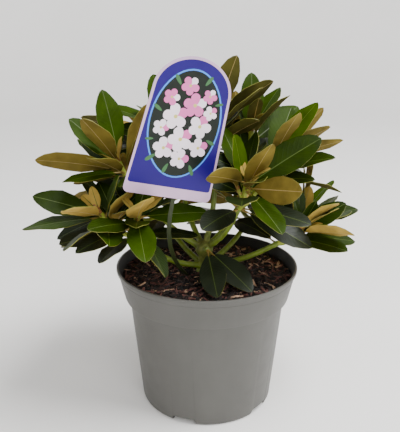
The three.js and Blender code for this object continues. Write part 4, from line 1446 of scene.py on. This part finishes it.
def arch_outline(inset, foot):
    """The card's outline, moved inwards: square corners rounded below, half an ellipse on top."""
    half, shoulder = LABEL_WIDTH / 2 - inset, LABEL_HEIGHT - LABEL_ARCH
    corner = max(1, LABEL_CORNER - inset)
    arcs = (
        (half - corner, foot + corner, corner, corner, -90, 0, 6),
        (0, shoulder, half - LABEL_TAPER * LABEL_WIDTH / 2, LABEL_ARCH - inset, 0, 180, 40),
        (corner - half, foot + corner, corner, corner, 180, 270, 6),
    )
    return [point for arc in arcs for point in arc_points(*arc)]


def arc_points(x, z, wide, high, first, last, steps):
    """Points on an arc of an ellipse."""
    angles = [math.radians(mix(first, last, i / steps)) for i in range(steps + 1)]
    return [(x + wide * math.cos(a), z + high * math.sin(a)) for a in angles]


def ellipse(x, z, wide, high, steps=48):
    return arc_points(x, z, wide, high, 0, 360, steps)[:-1]


def add_layer(soup, outline, front, ink, depth=LAYER):
    """A thin plate on the card: its outline at the front, and its thickness behind."""
    count = len(outline)
    near = [(x, -front, z) for x, z in outline]
    far = [(x, depth - front, z) for x, z in outline]
    faces = [tuple(range(count)), tuple(range(count, 2 * count))[::-1]]
    faces += [(i, i + count, (i + 1) % count + count, (i + 1) % count) for i in range(count)]
    soup.add(on_label(near + far), faces, INK[ink])


def petal(x, z, turn, length, width):
    """The outline of a petal or a leaf whose foot is at x, z."""
    c, s = math.cos(math.radians(turn)), math.sin(math.radians(turn))
    points = []
    for i in range(PETAL_POINTS):
        angle = 2 * math.pi * i / PETAL_POINTS
        ahead = length * (1 - math.cos(angle)) / 2
        across = width / 2 * math.sin(angle) * (0.6 + 0.4 * ahead / length)
        points.append((x + ahead * c - across * s, z + ahead * s + across * c))
    return points


def build_label(name, materials):
    """A card with a plain panel and a window of simple blossoms, and the tail that holds it."""
    soup = Soup()
    dice = Draws(3 * SEED_STEP)
    front = CARD_THICKNESS - LABEL_THICKNESS / 2
    add_layer(soup, arch_outline(0, 0), front, "card", CARD_THICKNESS)
    add_layer(soup, arch_outline(PANEL_INSET, PANEL_FOOT), front + LAYER * PANEL_LEVEL, "panel")
    x, z, wide, high = WINDOW
    line = ellipse(x, z, wide + WINDOW_LINE, high + WINDOW_LINE)
    add_layer(soup, line, front + LAYER * LINE_LEVEL, "line")
    add_layer(soup, ellipse(x, z, wide, high), front + LAYER * GROUND_LEVEL, "ground")
    for x, z, turn, length in SPRIGS:
        shape = petal(x, z, turn, length, length * SPRIG_WIDTH)
        add_layer(soup, shape, front + LAYER * SPRIG_LEVEL, "leaf")
    for i, (x, z, radius, pink) in enumerate(BLOSSOMS):
        first = dice.draw() * 360 / PETALS
        level = front + LAYER * (BLOSSOM_LEVEL + BLOSSOM_STEP * i)
        for k in range(PETALS):
            shape = petal(x, z, first + 360 / PETALS * k, radius, radius * PETAL_WIDTH)
            ink = "pink" if pink != (k == 0) else "petal"
            add_layer(soup, shape, level + LAYER * PETAL_STEP * k, ink)
        heart = radius * HEART_SIZE
        add_layer(soup, ellipse(x, z, heart, heart, 12), level + LAYER * HEART_STEP, "heart")
    add_tail(soup, tail_path())
    return soup.piece(name, materials, 30)


def add_tail(soup, path):
    """The tail: a flat strip with rounded edges, from the mix to its lap behind the card."""
    across = LABEL_TURN @ vec(1, 0, 0)
    rings = []
    for step, point in enumerate(path):
        direction = UP if step == 0 else path_direction(path, step)
        side = flattened(across, direction)
        other = np.cross(direction, side)
        behind = LABEL_TURN @ vec(0, TAIL_BEHIND, 0) * min(1, step / 4)
        for angle in np.linspace(0, 2 * math.pi, TAIL_SIDES, endpoint=False):
            c, s = math.cos(angle), math.sin(angle)
            wide = TAIL_WIDTH / 2 * math.copysign(abs(c) ** TAIL_SQUARE[0], c)
            deep = TAIL_HALF_THICKNESS * math.copysign(abs(s) ** TAIL_SQUARE[1], s)
            rings.append(point + behind + side * wide + other * deep)
    soup.add(np.array(rings), joined(len(path), TAIL_SIDES), INK["tail"])


# Settings

def length_setting(name, default, description):
    return FloatProperty(name=name, description=description, default=default * MM, unit="LENGTH")


def power_setting(name, default, description):
    return FloatProperty(name=name, description=description, default=default, unit="POWER")


def colour_setting(name, levels, description):
    colour = srgb(*levels)
    return FloatVectorProperty(
        name=name, description=description, default=colour, subtype="COLOR", min=0, max=1
    )


class PlantPotSettings(bpy.types.PropertyGroup):
    outside: colour_setting("Outside", (77, 76, 72), "Grey plastic of the outside and the lip")
    inside: colour_setting("Inside", (7, 7, 7), "Black plastic of the inside")
    edge: length_setting("Edge", 0.35, "How far the plastic's edges are rounded")


class PlantMixSettings(bpy.types.PropertyGroup):
    # These colours are darkened as painted shade of the crown over the mix; the near-black peat also
    # stands for painted shade in the gaps between chips.
    peat: colour_setting("Peat", (13, 9, 7), "Damp peat between the chips")
    dark: colour_setting("Dark bark", (32, 20, 16), "Most of the bark chips")
    brown: colour_setting("Brown bark", (62, 37, 31), "Brown bark chips")
    red: colour_setting("Red bark", (100, 61, 55), "Reddish chips")
    tan: colour_setting("Splinters", (172, 138, 112), "Pale splinters of wood")


class PlantCrownSettings(bpy.types.PropertyGroup):
    young: colour_setting("Young leaf", (56, 78, 2), "The small leaves round a bud")
    bright: colour_setting("Bright leaf", (40, 60, 0), "Upper leaves of a whorl")
    mid: colour_setting("Full leaf", (31, 47, 1), "Grown leaves")
    deep: colour_setting("Deep leaf", (25, 38, 11), "Lower leaves")
    # Old leaves are dark green; the bluish tinge in this colour is a painted sheen.
    dark: colour_setting("Old leaf", (31, 38, 25), "Old, bluish leaves")
    # The felts are partly the felt's own change with age and partly painted light and shade: light felt
    # for lit undersides, tan and olive felt for shaded ones.
    felt_light: colour_setting("Light felt", (168, 140, 64), "Underside of young leaves")
    felt_tan: colour_setting("Tan felt", (116, 100, 38), "Underside of grown leaves")
    felt_olive: colour_setting("Olive felt", (78, 74, 27), "Underside of old leaves")
    vein: colour_setting("Midrib", (68, 86, 16), "Midrib above")
    vein_under: colour_setting("Midrib below", (158, 134, 74), "Midrib below")
    # Partly the rolled edge's own yellowish colour, partly a painted highlight along the edge.
    margin: colour_setting("Margin", (124, 124, 40), "Rolled edge of a leaf")
    stalk: colour_setting("Stalk", (134, 112, 48), "Leaf stalks")
    shoot: colour_setting("Shoot", (138, 150, 46), "Young shoots")
    old_shoot: colour_setting("Stem", (104, 122, 30), "Stems that carry the shoots")
    bark: colour_setting("Bark", (86, 68, 44), "Bark of the trunk")
    bud: colour_setting("Bud", (158, 106, 56), "Bud scales")
    bud_edge: colour_setting("Bud edge", (112, 54, 32), "Edges of the bud scales")


class PlantLabelSettings(bpy.types.PropertyGroup):
    card: colour_setting("Card", (202, 172, 202), "Unprinted card")
    panel: colour_setting("Panel", (32, 3, 110), "Blue panel")
    line: colour_setting("Line", (70, 140, 236), "Line round the window")
    ground: colour_setting("Ground", (16, 26, 18), "Dark ground of the window")
    leaf: colour_setting("Printed leaf", (64, 110, 66), "Printed leaves")
    petal: colour_setting("Petal", (244, 232, 242), "White petals")
    pink: colour_setting("Pink petal", (224, 112, 178), "Pink petals")
    heart: colour_setting("Heart", (206, 196, 110), "Middle of a blossom")
    tail: colour_setting("Tail", (44, 52, 26), "Plastic tail")


class PlantStageSettings(bpy.types.PropertyGroup):
    floor: colour_setting("Floor", (246, 245, 243), "Pale floor and backdrop")
    key: power_setting("Key light", 150, "Power of the soft light above")
    fill: power_setting("Fill light", 45, "Power of the front light")
    ambient: FloatProperty(name="Ambient", description="Strength of the pale surroundings", default=0.5)
    lens: FloatProperty(name="Lens", description="Focal length", default=50.25, unit="CAMERA")


# Operators

PLANT = {}


def grown():
    """The plant as grown by the rule, worked out once."""
    if not PLANT:
        masses, room = grow_plant()
        grow_finer(masses, room)
        PLANT.update(masses)
    return PLANT


class PLANT_OT_pot(bpy.types.Operator):
    """Builds the plastic container"""
    bl_idname = "plant.pot"
    bl_label = "Pot"

    def execute(self, context):
        settings = context.scene.plant_pot
        made = build_pot("container")
        apply_modifier(
            made, "BEVEL", width=settings.edge, segments=2, limit_method="ANGLE", angle_limit=0.6
        )
        made.data.materials.append(pot_finish("grey_plastic", settings.outside, 0.5))
        made.data.materials.append(pot_finish("black_plastic", settings.inside, 0.6))
        paint_pot(made)
        choose(made)
        bpy.ops.object.shade_smooth_by_angle(angle=math.radians(32))
        hand_in(made, "pot_plastic", "pot")
        return {"FINISHED"}


class PLANT_OT_mix(bpy.types.Operator):
    """Fills the container with bark mix and chips"""
    bl_idname = "plant.mix"
    bl_label = "Bark mix"

    def execute(self, context):
        settings = context.scene.plant_mix
        finishes = [chip_finish("bark_" + tone, getattr(settings, tone)) for tone in CHIP_TONES]
        body = build_mix("mix_body")
        # The body is near-black peat, which also stands for painted shade in the gaps between chips.
        body.data.materials.append(finishes[0])
        hand_in(body, "bark_mix", "bark_mix")
        hand_in(build_chips("bark_chips", finishes), "bark_mix", "bark_mix")
        return {"FINISHED"}


class PLANT_OT_stems(bpy.types.Operator):
    """Grows the trunk and the boughs with their bark"""
    bl_idname = "plant.stems"
    bl_label = "Trunk and boughs"

    def execute(self, context):
        settings = context.scene.plant_crown
        made = build_stems("woody_stems")
        made.data.materials.append(bark_finish(settings.bark, settings.old_shoot))
        hand_in(made, "woody_bark", "trunk", *("bough_" + name for name in BOUGHS))
        return {"FINISHED"}


class PLANT_OT_shoots(bpy.types.Operator):
    """Grows the shoots and their buds"""
    bl_idname = "plant.shoots"
    bl_label = "Shoots and buds"

    def execute(self, context):
        settings = context.scene.plant_crown
        shoot_finishes = [
            stalk_finish("shoot_green", settings.shoot),
            stalk_finish("stem_green", settings.old_shoot),
        ]
        bud_finishes = [
            stalk_finish("bud_scales", settings.bud, 0.6),
            stalk_finish("bud_edges", settings.bud_edge, 0.6),
        ]
        buds = Soup()
        for name, mass in grown().items():
            soup = Soup()
            add_shoots(soup, mass, Draws(len(name) * SEED_STEP))
            hand_in(soup.piece("shoots_" + name, shoot_finishes), "green_bark", "foliage_" + name)
            for shoot in mass.shoots:
                add_bud(buds, shoot.end - shoot.axis, shoot.axis, BUD_LENGTH, BUD_WIDEST)
            for _, end, axis in mass.spurs:
                add_bud(buds, end - axis, axis, BUD_LENGTH * SPUR_BUD[0], BUD_WIDEST * SPUR_BUD[1])
        made = buds.piece("buds", bud_finishes, 35)
        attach(made, "root")
        return {"FINISHED"}


class PLANT_OT_leaves(bpy.types.Operator):
    """Grows the leaves of every mass"""
    bl_idname = "plant.leaves"
    bl_label = "Leaves"

    def execute(self, context):
        settings = context.scene.plant_crown
        names = (*TONES, *FELTS, *LEAF_PARTS)
        finishes = leaf_materials({name: getattr(settings, name) for name in names})
        dice = Draws(2 * SEED_STEP)
        for name, mass in grown().items():
            soup = Soup()
            for leaf in mass.leaves:
                add_leaf(soup, leaf, mass, dice)
            hand_in(soup.piece("leaves_" + name, finishes, 50), "foliage", "foliage_" + name)
        return {"FINISHED"}


class PLANT_OT_label(bpy.types.Operator):
    """Makes the picture label and its tail"""
    bl_idname = "plant.label"
    bl_label = "Label"

    def execute(self, context):
        settings = context.scene.plant_label
        finishes = [print_finish("label_" + name, getattr(settings, name)) for name in INKS]
        hand_in(build_label("picture_label", finishes), "label_print", "plant_label")
        return {"FINISHED"}


STAGE_RADIUS = 2600
STAGE_CURVE = 900
STAGE_HEIGHT = 1900
STAGE_STEPS = 96
LIT_PLACE = (0, 0, 0.25)
SURROUNDINGS = (0.97, 0.97, 0.98, 1)


def stage_profile():
    """Radii and heights of the floor: flat, then a quarter turn, then upright."""
    turns = np.linspace(0, math.pi / 2, 13)
    curve = [(STAGE_RADIUS + STAGE_CURVE * math.sin(t), STAGE_CURVE * (1 - math.cos(t))) for t in turns]
    return ((0, 0), (600, 0), *curve, (STAGE_RADIUS + STAGE_CURVE, STAGE_HEIGHT))


class PLANT_OT_stage(bpy.types.Operator):
    """Sets up the pale floor, soft light and camera"""
    bl_idname = "plant.stage"
    bl_label = "Stage"

    def execute(self, context):
        settings = context.scene.plant_stage
        self.add_floor(settings)
        self.add_light("key", settings.key, 1.8, (1.3, -0.3, 2.7))
        self.add_light("fill", settings.fill, 2, (1, -2.8, 2.2))
        world = bpy.data.worlds.new("surroundings")
        world.use_nodes = True
        background = world.node_tree.nodes["Background"]
        background.inputs["Color"].default_value = SURROUNDINGS
        background.inputs["Strength"].default_value = settings.ambient
        context.scene.world = world
        self.add_camera(context, settings)
        return {"FINISHED"}

    def add_floor(self, settings):
        """A round floor whose rim curves up into a pale wall, the same from every side."""
        floor = spin_profile("pale_floor", stage_profile(), STAGE_STEPS)
        choose(floor)
        bpy.ops.object.shade_smooth()
        finish = Finish("pale_ground", 0.6, Emission_Color=(1, 1, 1, 1), Emission_Strength=0.06)
        finish.colour(finish.shades(finish.noise(3, 2), settings.floor, 0.97, 1))
        floor.data.materials.append(finish.material)

    def add_light(self, name, power, size, place):
        """A soft square light that points at the middle of the plant."""
        bpy.ops.object.light_add(type="AREA", location=place)
        light = bpy.context.object
        light.name = name
        light.data.energy = power
        light.data.size = size
        ray = Vector(LIT_PLACE) - Vector(place)
        light.rotation_euler = ray.to_track_quat("-Z", "Y").to_euler()

    def add_camera(self, context, settings):
        turn = math.radians(90 - VIEWER_DROP)
        bpy.ops.object.camera_add(location=tuple(VIEWER * MM), rotation=(turn, 0, 0))
        camera = bpy.context.object
        camera.name = "camera"
        camera.data.lens = settings.lens
        camera.data.sensor_width = 36
        camera.data.sensor_fit = "AUTO"
        context.scene.camera = camera


class PLANT_PT_panel(bpy.types.Panel):
    """Lists the steps that build the plant"""
    bl_label = "Potted rhododendron"
    bl_idname = "PLANT_PT_panel"
    bl_space_type = "VIEW_3D"
    bl_region_type = "UI"
    bl_category = "Plant"

    def draw(self, context):
        for operator in OPERATORS:
            self.layout.operator(operator.bl_idname)
        for name, _ in SETTINGS:
            self.layout.prop(context.scene, name)


OPERATORS = (
    PLANT_OT_pot, PLANT_OT_mix, PLANT_OT_stems, PLANT_OT_shoots,
    PLANT_OT_leaves, PLANT_OT_label, PLANT_OT_stage,
)
SETTINGS = (
    ("plant_pot", PlantPotSettings),
    ("plant_mix", PlantMixSettings),
    ("plant_crown", PlantCrownSettings),
    ("plant_label", PlantLabelSettings),
    ("plant_stage", PlantStageSettings),
)


def register():
    for name, group in SETTINGS:
        bpy.utils.register_class(group)
        setattr(bpy.types.Scene, name, PointerProperty(type=group))
    for operator in OPERATORS:
        bpy.utils.register_class(operator)
    bpy.utils.register_class(PLANT_PT_panel)


def unregister():
    bpy.utils.unregister_class(PLANT_PT_panel)
    for operator in reversed(OPERATORS):
        bpy.utils.unregister_class(operator)
    for name, group in reversed(SETTINGS):
        delattr(bpy.types.Scene, name)
        bpy.utils.unregister_class(group)


def corners(box):
    return [[float(v) for v in corner] for corner in box]


def main():
    register()
    bpy.ops.plant.pot()
    bpy.ops.plant.mix()
    bpy.ops.plant.stems()
    bpy.ops.plant.shoots()
    bpy.ops.plant.leaves()
    bpy.ops.plant.label()
    bpy.ops.plant.stage()


if __name__ == "__main__":
    main()
